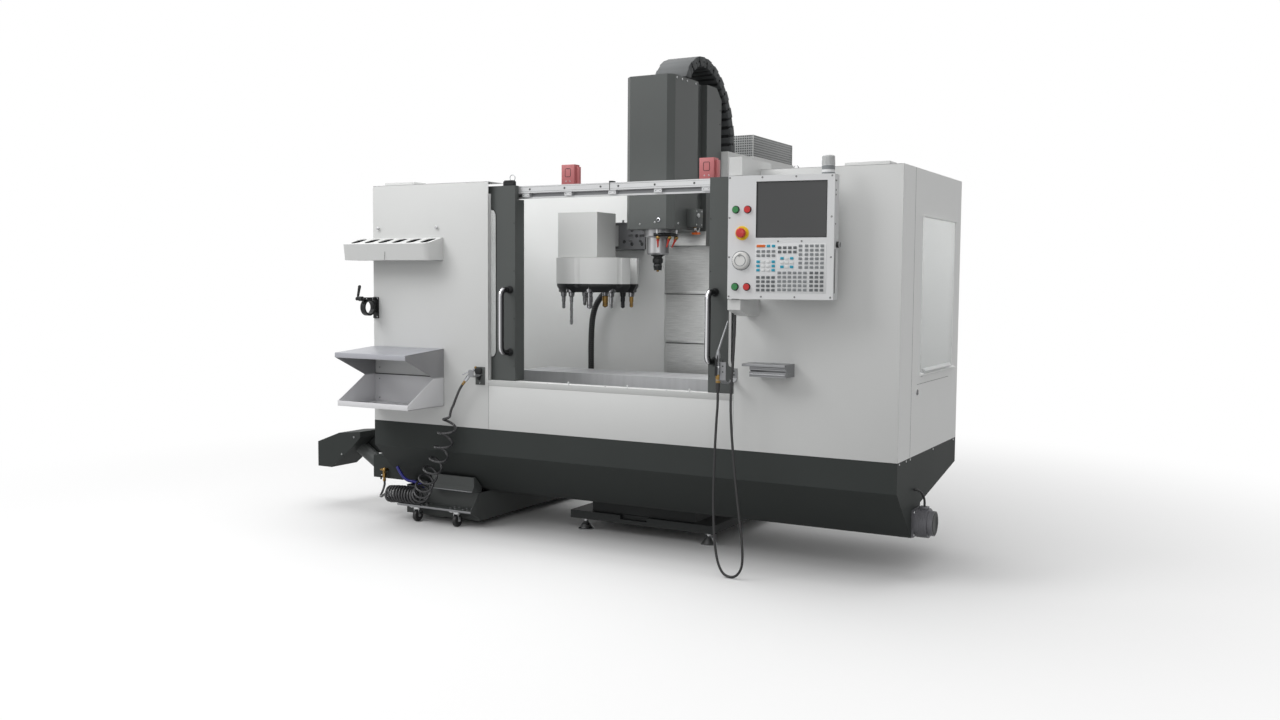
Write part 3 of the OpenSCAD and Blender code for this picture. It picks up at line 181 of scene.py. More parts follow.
key_white = material("key_white", srgb(214, 216, 216), 0.5, grain=600, bump=0.06, vary=0.03)
lens = material("beacon_lens", srgb(206, 208, 208), 0.25, grain=300, vary=0.03, Transmission_Weight=0.35)
seam = material("seam_shadow", srgb(84, 85, 85), 0.7, grain=500, vary=0.05)
glass = material("clear_pane", srgb(226, 232, 232), 0.04, grain=200, bump=0.0, vary=0.01, rough_vary=0.01, Alpha=0.16,
                 IOR=1.49)


def patterned(name, base, spots, texture, at, low, high, **values):
    """A painted surface with a regular pattern of a second colour, also pressed into its height."""
    m = material(name, base)
    t = m.node_tree
    join = t.links.new
    b, bump = node_of(t, "BSDF_PRINCIPLED"), node_of(t, "BUMP")
    plain = b.inputs["Base Color"].links[0].from_socket
    split = node(t, "SeparateXYZ")
    join(node(t, "TexCoord").outputs["Object"], split.inputs[0])
    flat = node(t, "CombineXYZ")
    for n, axes in enumerate(at):
        total = node(t, "Math", operation="ADD")
        for k, axis in enumerate(axes):
            join(split.outputs[axis], total.inputs[k])
        join(total.outputs[0], flat.inputs[n])
    pattern = node(t, texture, **values)
    join(flat.outputs[0], pattern.inputs["Vector"])
    step = node(t, "MapRange", From_Min=low, From_Max=high)
    join(pattern.outputs[0], step.inputs["Value"])
    # Sockets 6, 7 and 2 are the colours of a mix node
    mix = node(t, "Mix", data_type="RGBA")
    mix.inputs[6].default_value = spots
    join(step.outputs[0], mix.inputs["Factor"])
    join(plain, mix.inputs[7])
    join(mix.outputs[2], b.inputs["Base Color"])
    bump.inputs["Strength"].default_value = 0.6
    bump.inputs["Distance"].default_value = 0.002
    join(step.outputs[0], bump.inputs["Height"])
    return m


mesh_sheet = patterned("perforated_sheet", srgb(150, 152, 152), srgb(52, 54, 54), "TexVoronoi", [(0, 1), (2,)],
                       0.30, 0.36, voronoi_dimensions="2D", Scale=75, Randomness=0)
ribbed = patterned("ribbed_conduit", srgb(44, 45, 46), srgb(16, 16, 17), "TexWave", [(0,), (1,), (2,)],
                   0.15, 0.6, bands_direction="Z", Scale=30)


def by_ramp(name, base, source, axis, low, high, greys, **more):
    """A surface whose grey follows one part of a vector, such as height or the way a face looks."""
    m = material(name, base, **more)
    t = m.node_tree
    join = t.links.new
    split = node(t, "SeparateXYZ")
    join(node(t, "TexCoord").outputs[source], split.inputs[0])
    span = node(t, "MapRange", From_Min=low, From_Max=high)
    join(split.outputs[axis], span.inputs["Value"])
    ramp = node(t, "ValToRGB")
    marks = ramp.color_ramp.elements
    while len(marks) < len(greys):
        marks.new(0.5)
    for mark, (at, grey) in zip(marks, greys):
        mark.position, mark.color = at, srgb(grey, grey, grey + 2)
    join(span.outputs[0], ramp.inputs[0])
    join(ramp.outputs[0], node_of(t, "BSDF_PRINCIPLED").inputs["Base Color"])
    return m


def painted_reflection_metal(name, base, greys, **more):
    """Bare metal with painted reflections: bands of grey from the faces that look left to those that look right."""
    return by_ramp(name, base, "Normal", 0, -1, 1, greys, bump=0.0, **more)


# Painted reflections on the tools, the spindle cartridge, the door handles and the side plug: greys by which way a face
# looks
tool_steel_painted_reflection = painted_reflection_metal("tool_steel_painted_reflection", srgb(170, 171, 173), [
    (0.0, 60), (0.2, 170), (0.36, 54), (0.52, 200), (0.74, 76), (1.0, 120)], rough=0.22, metal=0.9)
cartridge_steel_painted_reflection = painted_reflection_metal("cartridge_steel_painted_reflection", srgb(170, 171, 173), [
    (0.0, 84), (0.22, 150), (0.42, 206), (0.62, 150), (0.8, 190), (1.0, 90)], rough=0.34, metal=0.6)
handle_chrome = painted_reflection_metal("handle_chrome", srgb(200, 201, 203), [
    (0.04, 130), (0.17, 242), (0.33, 34), (0.5, 238), (0.74, 120), (0.96, 44)], rough=0.16, metal=1.0)
bin_coat = by_ramp("bin_two_tone", srgb(186, 187, 187), "Object", 2, 0.774, 0.782, [(0.0, 216), (1.0, 142)],
                   rough=0.42, metal=0.15, grain=600)

looks = (
    (light, "column front_panels control_cabinet pendant_arm tool_rack"), (wall, "enclosure_walls"),
    (cast, "base_casting saddle"), (steel, "levelling_feet coolant_manifold carousel_tools"), (table_grey, "table"),
    (mid, "head_cover left_door right_door"), (dark, "chip_pan chip_chute coolant_tank"), (alu, "top_rail"),
    (cartridge_steel_painted_reflection, "spindle_cartridge"), (oxide, "spindle holder_vise vise_lever wash_trigger"),
    (sheet, "z_cover_top z_cover_mid z_cover_bottom"), (black, "cable_chain pocket_forks tank_casters"),
    (bracket_grey, "changer_bracket"), (slide_coat, "changer_slide"), (white, "carousel"),
    (rubber, "conduits wash_hose air_hose air_coil"), (glass, "side_windows left_door_window right_door_window"),
    (chrome, "left_door_handle right_door_handle air_gun air_trigger"), (red_case, "interlock_boxes"),
    (ground, "auger_screw"), (motor_grey, "auger_motor"), (bezel, "pendant_housing"), (screen, "pendant_screen"),
    (key_grey, "keypad"), (red, "e_stop power_off_button feed_hold_button"),
    (green, "power_on_button cycle_start_button"), (knob, "jog_knob"), (bin_coat, "parts_bin"),
    (plated, "panel_brackets wash_gun"), (brass, "air_valve"),
)
for look, names in looks:
    for name in names.split():
        slots = nodes[name].data.materials
        slots.clear()
        slots.append(look)


# Cords
def spline_at(p, i, t):
    a, b, c, d = p[max(i - 1, 0)], p[i], p[i + 1], p[min(i + 2, len(p) - 1)]
    return 0.5 * (2 * b + (c - a) * t + (2 * a - 5 * b + 4 * c - d) * t * t + (3 * b - a - 3 * c + d) * t ** 3)


def smooth(points, steps):
    p = [P(*q) for q in points]
    return [spline_at(p, i, k / steps) for i in range(len(p) - 1) for k in range(steps)] + [p[-1]]


def run(path):
    return sum((b - a).length for a, b in zip(path, path[1:]))


def cord_piece(name, path, r, look, body, *replaced):
    data = bpy.data.curves.new(name, "CURVE")
    data.dimensions = "3D"
    data.bevel_depth = r
    data.bevel_resolution = 4
    data.use_fill_caps = True
    line = data.splines.new("POLY")
    line.points.add(len(path) - 1)
    for point, q in zip(line.points, path):
        point.co = (*q, 1)
    line.use_smooth = True
    o = bpy.data.objects.new(name, data)
    bpy.context.scene.collection.objects.link(o)
    data.materials.append(look)
    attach(o, body)
    for node in replaced:
        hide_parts(node)
    return o


wash_route = [
    (722, -140, 1129), (721, -140, 1060), (716, -140, 950), (709, -139, 840), (706, -138, 740),
    (712, -137, 620), (728, -135, 450), (748, -132, 280), (763, -128, 140), (760, -124, 62),
    (735, -120, 18), (700, -118, 7), (665, -117, 24), (640, -116, 80), (626, -116, 180),
    (620, -116, 330), (623, -116, 500), (630, -117, 660), (635.2, -117, 740), (635.2, -117, 806),
]
wash_path = smooth(wash_route, 8)
wash_hose = cord_piece("wash_hose_tube", wash_path, 0.0055, rubber, "frame", "wash_hose")


def coil(guide, radius, pitches, fade=0.7, per_turn=18):
    """Winds a helix round a guide line, whose ends fade to the line; pitches are (share of the line, pitch)."""
    total = run(guide)

    def pitch_at(f):
        for (f0, p0), (f1, p1) in zip(pitches, pitches[1:]):
            if f <= f1:
                return p0 + (p1 - p0) * (f - f0) / (f1 - f0)
        return pitches[-1][1]

    samples, turns, length = [], 0.0, 0.0
    for a, b in zip(guide, guide[1:]):
        parts = max(1, round((b - a).length / 0.0006))
        for k in range(parts):
            samples.append((a.lerp(b, k / parts), (b - a).normalized(), turns))
            length += (b - a).length / parts
            turns += (b - a).length / parts / pitch_at(length / total)
    out, wanted, lead = [], 0.0, Vector((0.1, 0.3, 0.9))
    for at, along, turn in samples:
        lead = (lead - along * lead.dot(along)).normalized()
        if turn < wanted:
            continue
        wanted += 1 / per_turn
        open_by = min(1, turn / fade, (turns - turn) / fade)
        r = radius * math.sin(0.5 * math.pi * max(0, open_by))
        a = 2 * math.pi * turn
        out.append(at + r * (math.cos(a) * lead + math.sin(a) * along.cross(lead)))
    return out


AIR_R, COIL_R = 0.0062, 0.0465
tail_route = [
    (-1490, 188, 174.6), (-1490, 188, 154), (-1490, 172, 122), (-1478, 142, 104), (-1450, 122, 107),
    (-1418, 112, 125.5), (-1395.6, 110, 128),
]
coil_route = [
    (-1395, 110, 128), (-1290, 100, 138), (-1190, 88, 140), (-1120, 50, 165), (-1050, -10, 225),
    (-975, -50, 305), (-909, -60, 396), (-868, -60, 510), (-845, -60, 600),
]
air_route = [
    (-844.8, -60, 600.6), (-838, -60, 625.5), (-822, -60, 655), (-806, -60, 690), (-785, -60, 730), (-766, -60, 757),
]
air_path = smooth(tail_route, 4)
pitches = [(0, 0.0195), (0.18, 0.0195), (0.28, 0.043), (0.42, 0.068), (1, 0.078)]
air_path += coil(smooth(coil_route, 12), COIL_R - AIR_R, pitches)
air_path += smooth(air_route, 3)
air_hose = cord_piece("air_hose_tube", air_path, AIR_R, coil_rubber, "frame", "air_hose", "air_coil")

conduit_route = [
    (-488, 884, 1430.7), (-488, 884, 1370), (-490, 884, 1300), (-498, 884, 1245), (-520, 884, 1205), (-550, 884, 1172),
    (-582, 884, 1122), (-601, 884, 1050), (-608, 884, 940), (-608, 884, 800), (-608, 884, 600), (-608, 884, 416.4),
]
motor_route = [(1425, 280, 310), (1425, 279, 345), (1418, 265, 375), (1404, 250, 390), (1386.5, 248, 392)]
blue_route = [
    (-1338, 117, 278), (-1322, 120, 250), (-1302, 126, 222), (-1276, 132, 206), (-1246, 138, 202), (-1218, 146, 196),
    (-1202, 156, 184), (-1194, 172, 168), (-1190, 194, 158),
]
for name, route, r, look, kind in (("changer_conduit", conduit_route, 0.016, ribbed, "stiff"),
                                   ("motor_cable", motor_route, 0.005, rubber, "medium"),
                                   ("coolant_hose", blue_route, 0.008, blue, "stiff")):
    line = smooth(route, 4)
    tube = cord_piece(name, line, r, look, "frame", "conduits")


# Pieces in mesh code, in the machine's millimetres
TO_ROW = Matrix.Translation(P(0, 0, 0)) @ Matrix.Diagonal((0.001, 0.001, 0.001, 1))
PENDANT = Matrix.Translation((737, -165, 0)) @ Matrix.Rotation(math.radians(7.6), 4, "Z")
AS_IS = Matrix.Identity(4)
FLIP = Matrix.Diagonal((-1, 1, 1, 1))
FRONT = 0, -1, 0
RIGHT = 1, 0, 0
UP = 0, 0, 1


def turned(cx, cy, r, degrees):
    """The point at an angle on a circle."""
    a = math.radians(degrees)
    return cx + r * math.cos(a), cy + r * math.sin(a)


def ball(r):
    """Profile of a ball for Piece.lathe."""
    return [(r * math.sin(math.radians(t)), -r * math.cos(math.radians(t))) for t in range(0, 181, 15)]


def rounded_ring(r, steps=5):
    """Points round a unit square with rounded corners."""
    corners = (1 - r, 1 - r, 0), (r - 1, 1 - r, 90), (r - 1, r - 1, 180), (1 - r, r - 1, 270)
    return [turned(cx, cz, r, start + 90 * k / steps) for cx, cz, start in corners for k in range(steps + 1)]


def yz_plane(x):
    """Places a (y, z) outline upright at x, thickened along x."""
    return Matrix(((0, 0, 1, x), (1, 0, 0, 0), (0, 1, 0, 0), (0, 0, 0, 1)))


def xz_plane(y):
    """Places an (x, z) outline upright at y, thickened towards the back."""
    return Matrix(((1, 0, 0, 0), (0, 0, 1, y), (0, 1, 0, 0), (0, 0, 0, 1)))


class Piece:
    """Gathers bevelled boxes, turned profiles and tubes into one object that rides on a body."""

    def __init__(self, name, body, *mats, at=AS_IS):
        self.name, self.body, self.mats, self.at = name, body, mats, at
        self.bm = bmesh.new()

    def add(self, part, look):
        for f in part.faces:
            f.material_index = look
        data = bpy.data.meshes.new("part")
        part.to_mesh(data)
        part.free()
        data.transform(TO_ROW @ self.at)
        self.bm.from_mesh(data)
        bpy.data.meshes.remove(data)

    def box(self, x, y, z, look=0, bevel=1.0, turn=None, segments=2):
        part = bmesh.new()
        bmesh.ops.create_cube(part, size=1)
        size = Matrix.Diagonal((x[1] - x[0], y[1] - y[0], z[1] - z[0], 1))
        bmesh.ops.transform(part, matrix=size, verts=part.verts)
        if bevel:
            bmesh.ops.bevel(part, geom=part.edges[:], offset=bevel, segments=segments, affect="EDGES", profile=0.5)
        m = Matrix.Translation(((x[0] + x[1]) / 2, (y[0] + y[1]) / 2, (z[0] + z[1]) / 2))
        bmesh.ops.transform(part, matrix=m @ turn if turn else m, verts=part.verts)
        self.add(part, look)

    def lathe(self, at, axis, profile, look=0, sides=24):
        """Turns (radius, height) pairs round an axis through a point."""
        part = bmesh.new()
        q = Vector(UP).rotation_difference(Vector(axis)).to_matrix().to_4x4()
        m = Matrix.Translation(at) @ q
        rings = []
        for r, h in profile:
            if r < 1e-6:
                rings.append([part.verts.new(m @ Vector((0, 0, h)))])
            else:
                rings.append([part.verts.new(m @ Vector((r * math.cos(a), r * math.sin(a), h)))
                              for a in (2 * math.pi * k / sides for k in range(sides))])
        for low, high in zip(rings, rings[1:]):
            for k in range(sides):
                n = (k + 1) % sides
                loop = [low[k % len(low)], low[n % len(low)], high[n % len(high)], high[k % len(high)]]
                loop = [v for i, v in enumerate(loop) if v not in loop[:i]]
                if len(loop) > 2:
                    part.faces.new(loop)
        bmesh.ops.recalc_face_normals(part, faces=part.faces)
        self.add(part, look)

    def rod(self, a, b, r, look=0, sides=20):
        a, b = Vector(a), Vector(b)
        h = (b - a).length
        e = min(0.12 * r, h / 3)
        self.lathe(a, b - a, [(0, 0), (r - e, 0), (r, e), (r, h - e), (r - e, h), (0, h)], look, sides)

    def tube(self, path, r, look=0, sides=10, closed=False):
        part = bmesh.new()
        path = [Vector(p) for p in path]
        n = len(path)
        guide = Vector((0.13, 0.31, 0.94))
        rings = []
        for i, p in enumerate(path):
            before = path[i - 1] if closed or i else path[0]
            after = path[(i + 1) % n] if closed or i < n - 1 else path[-1]
            along = (after - before).normalized()
            u = (guide - along * guide.dot(along)).normalized()
            guide = u
            v = along.cross(u)
            rings.append([part.verts.new(p + r * (math.cos(a) * u + math.sin(a) * v))
                          for a in (2 * math.pi * k / sides for k in range(sides))])
        pairs = list(zip(rings, rings[1:])) + ([(rings[-1], rings[0])] if closed else [])
        for low, high in pairs:
            for k in range(sides):
                part.faces.new([low[k], low[(k + 1) % sides], high[(k + 1) % sides], high[k]])
        if not closed:
            part.faces.new(rings[0][::-1])
            part.faces.new(rings[-1])
        bmesh.ops.recalc_face_normals(part, faces=part.faces)
        self.add(part, look)

    def plate(self, outline, depth, look=0, bevel=0.6, m=AS_IS):
        """A flat plate from an outline in its own plane, thickened along its own z."""
        part = bmesh.new()
        verts = [part.verts.new((p[0], p[1], 0)) for p in outline]
        face = part.faces.new(verts)
        made = bmesh.ops.extrude_face_region(part, geom=[face])
        top = [v for v in made["geom"] if isinstance(v, bmesh.types.BMVert)]
        bmesh.ops.translate(part, vec=(0, 0, depth), verts=top)
        bmesh.ops.recalc_face_normals(part, faces=part.faces)
        if bevel:
            bmesh.ops.bevel(part, geom=part.edges[:], offset=bevel, segments=2, affect="EDGES", profile=0.5)
        bmesh.ops.transform(part, matrix=m, verts=part.verts)
        self.add(part, look)

    def screw(self, at, out, r=5.0, look=0, socket=1):
        """A button-head screw with a six-sided socket."""
        h = 0.55 * r
        self.lathe(at, out, [(r, 0), (r, 0.25 * h), (0.86 * r, 0.72 * h), (0.55 * r, h), (0.5 * r, h)], look, 18)
        self.lathe(at, out, [(0.5 * r, h), (0.46 * r, 0.3 * h), (0, 0.3 * h)], socket, 6)

    def done(self, *replaced, angle=32):
        data = bpy.data.meshes.new(self.name)
        bmesh.ops.remove_doubles(self.bm, verts=self.bm.verts, dist=1e-7)
        self.bm.to_mesh(data)
        self.bm.free()
        for look in self.mats:
            data.materials.append(look)
        data.shade_smooth()
        data.set_sharp_from_angle(angle=math.radians(angle))
        o = bpy.data.objects.new(self.name, data)
        bpy.context.scene.collection.objects.link(o)
        if self.body:
            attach(o, self.body)
        for node in replaced:
            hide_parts(node)
        return o


# Rail, head and tool changer
def rail_fittings():
    p = Piece("rail_fittings", "frame", steel, black, seam, plated)
    for x in (-453, -256, -58, 37, 227, 426):
        p.lathe((x, 60.3, 1701), FRONT, [(5.4, 0), (5.4, 0.15), (2.6, 0.15)], 2, 18)
        p.lathe((x, 60.3, 1701), FRONT, [(2.6, 0.15), (0, 0.15)], 1, 6)
    p.box((-11, -7), (60.16, 114.6), (1683.6, 1718.4), 1, 0)
    p.box((-18, 0), (68, 100), (1717, 1727), 1, 1.5)
    for z in (1690.5, 1711.5):
        p.box((-1380, 1380), (60.18, 60.6), (z, z + 1), 2, 0)
    p.box((-646, 646), (87, 90), (1659, 1684), 3, 0.5)
    for n in range(-2, 3):
        for side in (-11, 11):
            p.screw((n * 240 + side, 66.3, 1675), FRONT, 3.4, 0, 1)
    p.done()


def interlock_trim():
    p = Piece("interlock_trim", "frame", red_case, steel, black)
    for x in (-275, 448):
        p.box((x + 0.5, x + 71.5), (62.6, 66), (1718.4, 1809.6), 0, 1.2)
        ring = [(x + 36 + a * 15, 62.6, 1772 + b * 19) for a, b in rounded_ring(0.35)]
        p.tube(ring, 1.3, 2, 8, closed=True)
        for s in (26, 48):
            p.screw((x + s, 62.6, 1732), FRONT, 3.2, 1, 2)
        p.box((x + 71, x + 86), (78, 100), (1718, 1800), 0, 2)
    p.done()


def head_trim():
    p = Piece("head_trim", "head", steel, black, chrome, sheet)
    p.screw((62, 410, 1563), FRONT, 12, 2, 1)
    for x, z in ((-44, 1544), (40, 1552)):
        p.screw((x, 410, z), FRONT, 4.5, 0, 1)
    for y, z in ((480, 1548), (455, 2246), (512, 2246), (565, 2246), (660, 2246)):
        p.screw((132, y, z), RIGHT, 5, 0, 1)
    p.box((-133.5, 133.5), (787.6, 791), (1449.4, 1522), 3, 0.8)
    for z in (2080, 2150):
        p.screw((132, 945, z), RIGHT, 3.5, 1, 1)
    p.done()


def tool_in_spindle():
    p = Piece("collet_nut_slots", "spindle", oxide, brass)
    for k in range(8):
        x, y = turned(0, 520, 24.6, 45 * k)
        p.box((x - 1.6, x + 1.6), (y - 4, y + 4), (1359, 1376), 0, 0.8, Matrix.Rotation(math.radians(45 * k), 4, "Z"))
    p.lathe((0, 520, 1312), UP, [(0, 0), (6, 1), (7, 4), (7, 9), (9, 10)], 1, 20)
    p.done()


def coolant_ring():
    p = Piece("coolant_ring", "head", oxide, brass, nozzle_red, mid, steel, key_orange, black)

    def on_ring(degrees, z):
        return Vector((*turned(0, 520, 93, degrees), z))

    p.tube([on_ring(a, 1493) for a in range(-75, 26, 5)], 8, 0, 12)
    for a in (-65, 15):
        p.rod(on_ring(a, 1494), on_ring(a, 1520), 6, 4)
    for a in (-62, -25, 12):
        p.lathe(on_ring(a, 1479), UP, ball(11), 1, 18)
        inwards = (*turned(0, 0, -0.4226, a), -0.906)
        p.lathe(on_ring(a, 1479), inwards, [(7.5, 6), (7.5, 16), (5.5, 18), (3.4, 50), (2.2, 52), (1.8, 50)], 2, 14)
    p.box((132, 180), (572, 658), (1534, 1624), 3, 3)
    for y, z in ((586, 1612), (644, 1612), (586, 1546), (644, 1546)):
        p.screw((180, y, z), RIGHT, 4, 4, 6)
    p.lathe((180, 600, 1590), RIGHT, [(12, 0), (12, 5), (9, 8), (0, 8)], 4, 6)
    loop = [(157, *turned(638, 1534, -22, t)) for t in range(0, 181, 12)]
    p.tube([(157, 616, 1556)] + loop + [(157, 660, 1556)], 5.5, 4, 12)
    p.rod((157, 616, 1540), (157, 616, 1530), 8.5, 1, 6)
    p.box((140, 176), (612, 640), (1498, 1509), 5, 2.5)
    p.rod((150, 676, 1590), (168, 676, 1590), 8, 1, 6)
    p.done("coolant_manifold")


def cover_lips():
    for body, half, y, z in (("head", 168, 917, 1196), ("z_cover_mid", 162, 920.3, 934.5)):
        p = Piece(body + "_cover_lip", body, black, sheet)
        p.box((-half, half), (y - 2.6, y + 1), (z, z + 4), 0, 0.6)
        p.box((-half, half), (y - 1.6, y + 1), (z + 4, z + 16), 1, 0.6)
        p.done()


def chain_links():
    """Links along a path that rises from the column, bends over and comes down on the head."""
    peak_y, peak_z, foot, front_r, reach, thick = 735, 2390, 1945, 220, 385, 50
    last_bar, last_pin, head_top = 130, 140, 2262

    def at(angle, depth):
        """The (y, z) point at an angle along the path, at a depth under its outer line."""
        a = math.radians(angle)
        if angle <= 90:
            return Vector((peak_y + (reach - depth) * math.cos(a), foot + (peak_z - foot - depth) * math.sin(a)))
        return Vector(turned(peak_y, peak_z - front_r, front_r - depth, angle))

    p = Piece("chain_links", None, link, black)
    angles = [90 * n / 14 for n in range(15)] + [90 + 13 * n for n in range(1, 6)]
    for n, (low, high) in enumerate(zip(angles, angles[1:])):
        left, right = (-36, 136) if n % 2 else (-40, 140)
        start = low - 0.10 * (high - low) if low else low
        middle, half = 0.5 * low + 0.5 * high, 0.32 * (high - low)
        outline = [at(start, 0), at(high, 0), at(high, 0.55 * thick), at(middle + half, thick),
                   at(middle - half, thick), at(start, 0.55 * thick)]
        lowest = head_top if low >= last_bar else 0
        p.plate([(v.x, max(v.y, lowest)) for v in outline], right - left, 0, 1.6, yz_plane(left))
        if low < last_bar:
            bar = [at(low, thick - 6), at(high, thick - 6), at(high, thick - 1), at(low, thick - 1)]
            p.plate(bar, right - left - 24, 1, 0, yz_plane(left + 12))
        if 0 < low < last_pin:
            for x, out in ((-41, -1), (141, 1)):
                p.lathe((x, *at(low, 0.5 * thick)), (out, 0, 0), [(6, -4), (6, 0.2), (4.6, 1), (0, 1)], 1, 14)
    o = p.done("cable_chain")
    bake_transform(o)


def carousel_tool_set():
    """Tools in their pockets, round the carousel from the free pocket."""
    low = 1208
    p = Piece("carousel_tool_set", "carousel", tool_steel_painted_reflection, brass, oxide)
    for n in (1, 2, 3, 4, 6, 7, 8, 9):
        r, length = (7, 165) if n == 7 else (14, 84) if n % 5 == 3 else (8 + n % 3, 74 + 6 * (n % 4))
        look = 1 if n in (1, 3) else 2 if n == 2 else 0
        x, y = turned(-348, 520, 174, 36 * n)
        tip = low - length
        holder = [(r + 3, low - 24), (14, low - 20), (16, low - 3), (24, low), (26.4, low + 4), (26.4, 1250.3),
                  (29, 1250.3), (29, 1262), (22, 1264), (14, 1320), (0, 1320)]
        p.lathe((x, y, 0), UP, holder, 2 if look == 2 else 0, 28)
        tool = [(0, tip), (0.7 * r, tip + 0.4 * r), (r, tip + 0.6 * r), (r, low - 52), (r + 2, low - 46),
                (r + 2, low - 22)]
        p.lathe((x, y, 0), UP, tool, look, 20)
        for turn in (0, 180):
            flute = [(*turned(x, y, r - 0.6, turn + 300 * k / 14), tip + r + k / 14 * (length - 58 - r))
                     for k in range(15)]
            p.tube(flute, 1.4, 0 if look == 2 else 2, 6)
    p.done("carousel_tools")


def bracket_bolts():
    p = Piece("bracket_bolts", "frame", steel, black, oxide)
    for x, z in ((-250, 1530), (-250, 1457), (-190, 1457), (-190, 1545), (-222, 1500), (-296, 1470)):
        p.lathe((x, 700, z), FRONT, [(9, -1), (9, 0.1), (8.6, 0.2), (4, 0.2)], 2, 24)
        p.lathe((x, 700, z), FRONT, [(4, 0.2), (0, 0.1)], 1, 6)
    for x in (-300, -262):
        p.rod((x, 694, 1569), (x, 694, 1583), 7, 0, 6)
    p.done()


def wall_patch():
    p = Piece("wall_patch", "frame", bracket_grey, steel)
    p.box((-782, -742), (943, 946), (1392, 1446), 0, 1)
    for x, z in ((-776, 1398), (-748, 1440)):
        p.screw((x, 943, z), FRONT, 2.5, 1, 1)
    p.done()


# Control pendant, in its own frame
KEY_WIDE, KEY_HIGH = 14.5, 10.5


def key(p, x, z, look, w=KEY_WIDE):
    p.box((x, x + w), (-48.6, -45.5), (z, z + KEY_HIGH), look, 1.3, None, 3)


def keypad_keys():
    p = Piece("keypad_keys", "pendant", bezel, key_grey, key_dark, key_cyan, key_orange, key_white, at=PENDANT)
    px, pz, top, x = 21.2, 17.2, 1407, 98

    def block(x0, z0, columns, rows, look):
        for c in range(columns):
            for r in range(rows):
                key(p, x0 + c * px, z0 - r * pz, look)

    p.box((92, 386), (-46, -45), (1222, 1422), 0, 0.4)
    key(p, x, top, 4, 2 * px - 6)
    block(x + 2 * px, top, 2, 1, 3)
    block(x, top - 1.25 * pz, 4, 2, 1)
    for row in range(3):
        for column in range(4):
            key(p, x + column * px, top - (3.7 + row) * pz, 3 if column in (0, 3) else 5)
    block(x, top - 7.4 * pz, 4, 4, 2)
    block(x + 89, top - 0.4 * pz, 4, 2, 2)
    for row in range(3):
        for column in range(3):
            corner = row != 1 and column != 1
            key(p, x + 100 + column * 20, top - (2.9 + row) * pz, 3 if corner else 5)
    block(x + 175, top, 1, 6, 1)
    block(x + 200, top, 4, 6, 1)
    block(x + 89, top - 6.3 * pz, 6, 5, 1)
    block(x + 221, top - 6.3 * pz, 3, 5, 2)
    p.done("keypad", angle=40)


def pendant_trim():
    p = Piece("pendant_trim", "pendant", steel, black, bezel, yellow, lens, key_grey, screen, at=PENDANT)
    screws = [(x, z) for x in (-19, 118, 258, 404) for z in (1690, 1206)]
    screws += [(x, z) for x in (-19, 404) for z in (1528, 1367)] + [(187, 1431), (284, 1431)]
    for x, z in screws:
        p.screw((x, -45, z), FRONT, 3.6, 1, 0)
    for y, z in ((-30, 1672), (-12, 1672), (-22, 1634), (-22, 1616), (-22, 1500)):
        p.screw((415, y, z), RIGHT, 3.4, 1, 0)
    p.box((413, 416), (-27, -17), (1222, 1400), 1, 1.2)
    p.lathe((415, 5, 1418), RIGHT, [(12.4, 0), (12.6, 11), (10.5, 15), (0, 15.5)], 1, 12)
    left, right, low, high = (93.5, 96.5), (382.5, 385.5), (1446, 1449), (1670, 1673)
    across, upright = (left[0], right[1]), (low[0], high[1])
    for x, z in ((across, low), (right, upright), (across, high), (left, upright)):
        p.box(x, (-45.8, -41), z, 1, 0.4)
    p.lathe((36, -45, 1465), FRONT, [(29, -1), (29, 2.4), (27.4, 3.5), (14.5, 3.6), (14, 0.5)], 3, 36)
    for x in (8, 58):
        for z in (1561, 1246):
            p.lathe((x, -45, z), FRONT, [(16, 0), (16, 2.6), (14.4, 4.2), (13.2, 4.2), (13.2, 1)], 1, 30)
    p.lathe((33, -45, 1353), FRONT, [(40, 0), (40, 0.8), (38.5, 1.2), (36.4, 1.2)], 5, 40)
    beacon = (377, 5, 0)
    p.lathe(beacon, UP, [(26.4, 1698), (26.8, 1700), (26.8, 1706), (24.6, 1708), (24.6, 1716), (26.6, 1718),
                         (26.6, 1733), (25, 1735)], 5, 32)
    p.lathe(beacon, UP, [(26.4, 1735), (26.6, 1738), (25.6, 1770), (22, 1774.5), (0, 1775)], 4, 32)
    for k in range(6):
        r, z = 26.7 - k * 0.15, 1740 + k * 5
        p.lathe(beacon, UP, [(r, z), (r + 0.2, z + 1.2), (r, z + 2.4)], 4, 32)
    p.box((-25.4, -24.6), (-43, 38), (1199, 1695), 2, 0.3)
    p.done()


def jog_ribs():
    p = Piece("jog_ribs", "jog_knob", knob, key_grey, at=PENDANT)
    for k in range(28):
        x, z = turned(33, 1353, 35.6, 360 * k / 28)
        p.rod((x, -46, z), (x, -51, z), 1.5, 0, 8)
    p.lathe((33, -63, 1353), FRONT, [(24, -1), (24, 0.6), (22.5, 1.2), (21, 0.6), (21, -1)], 1, 40)
    p.done()


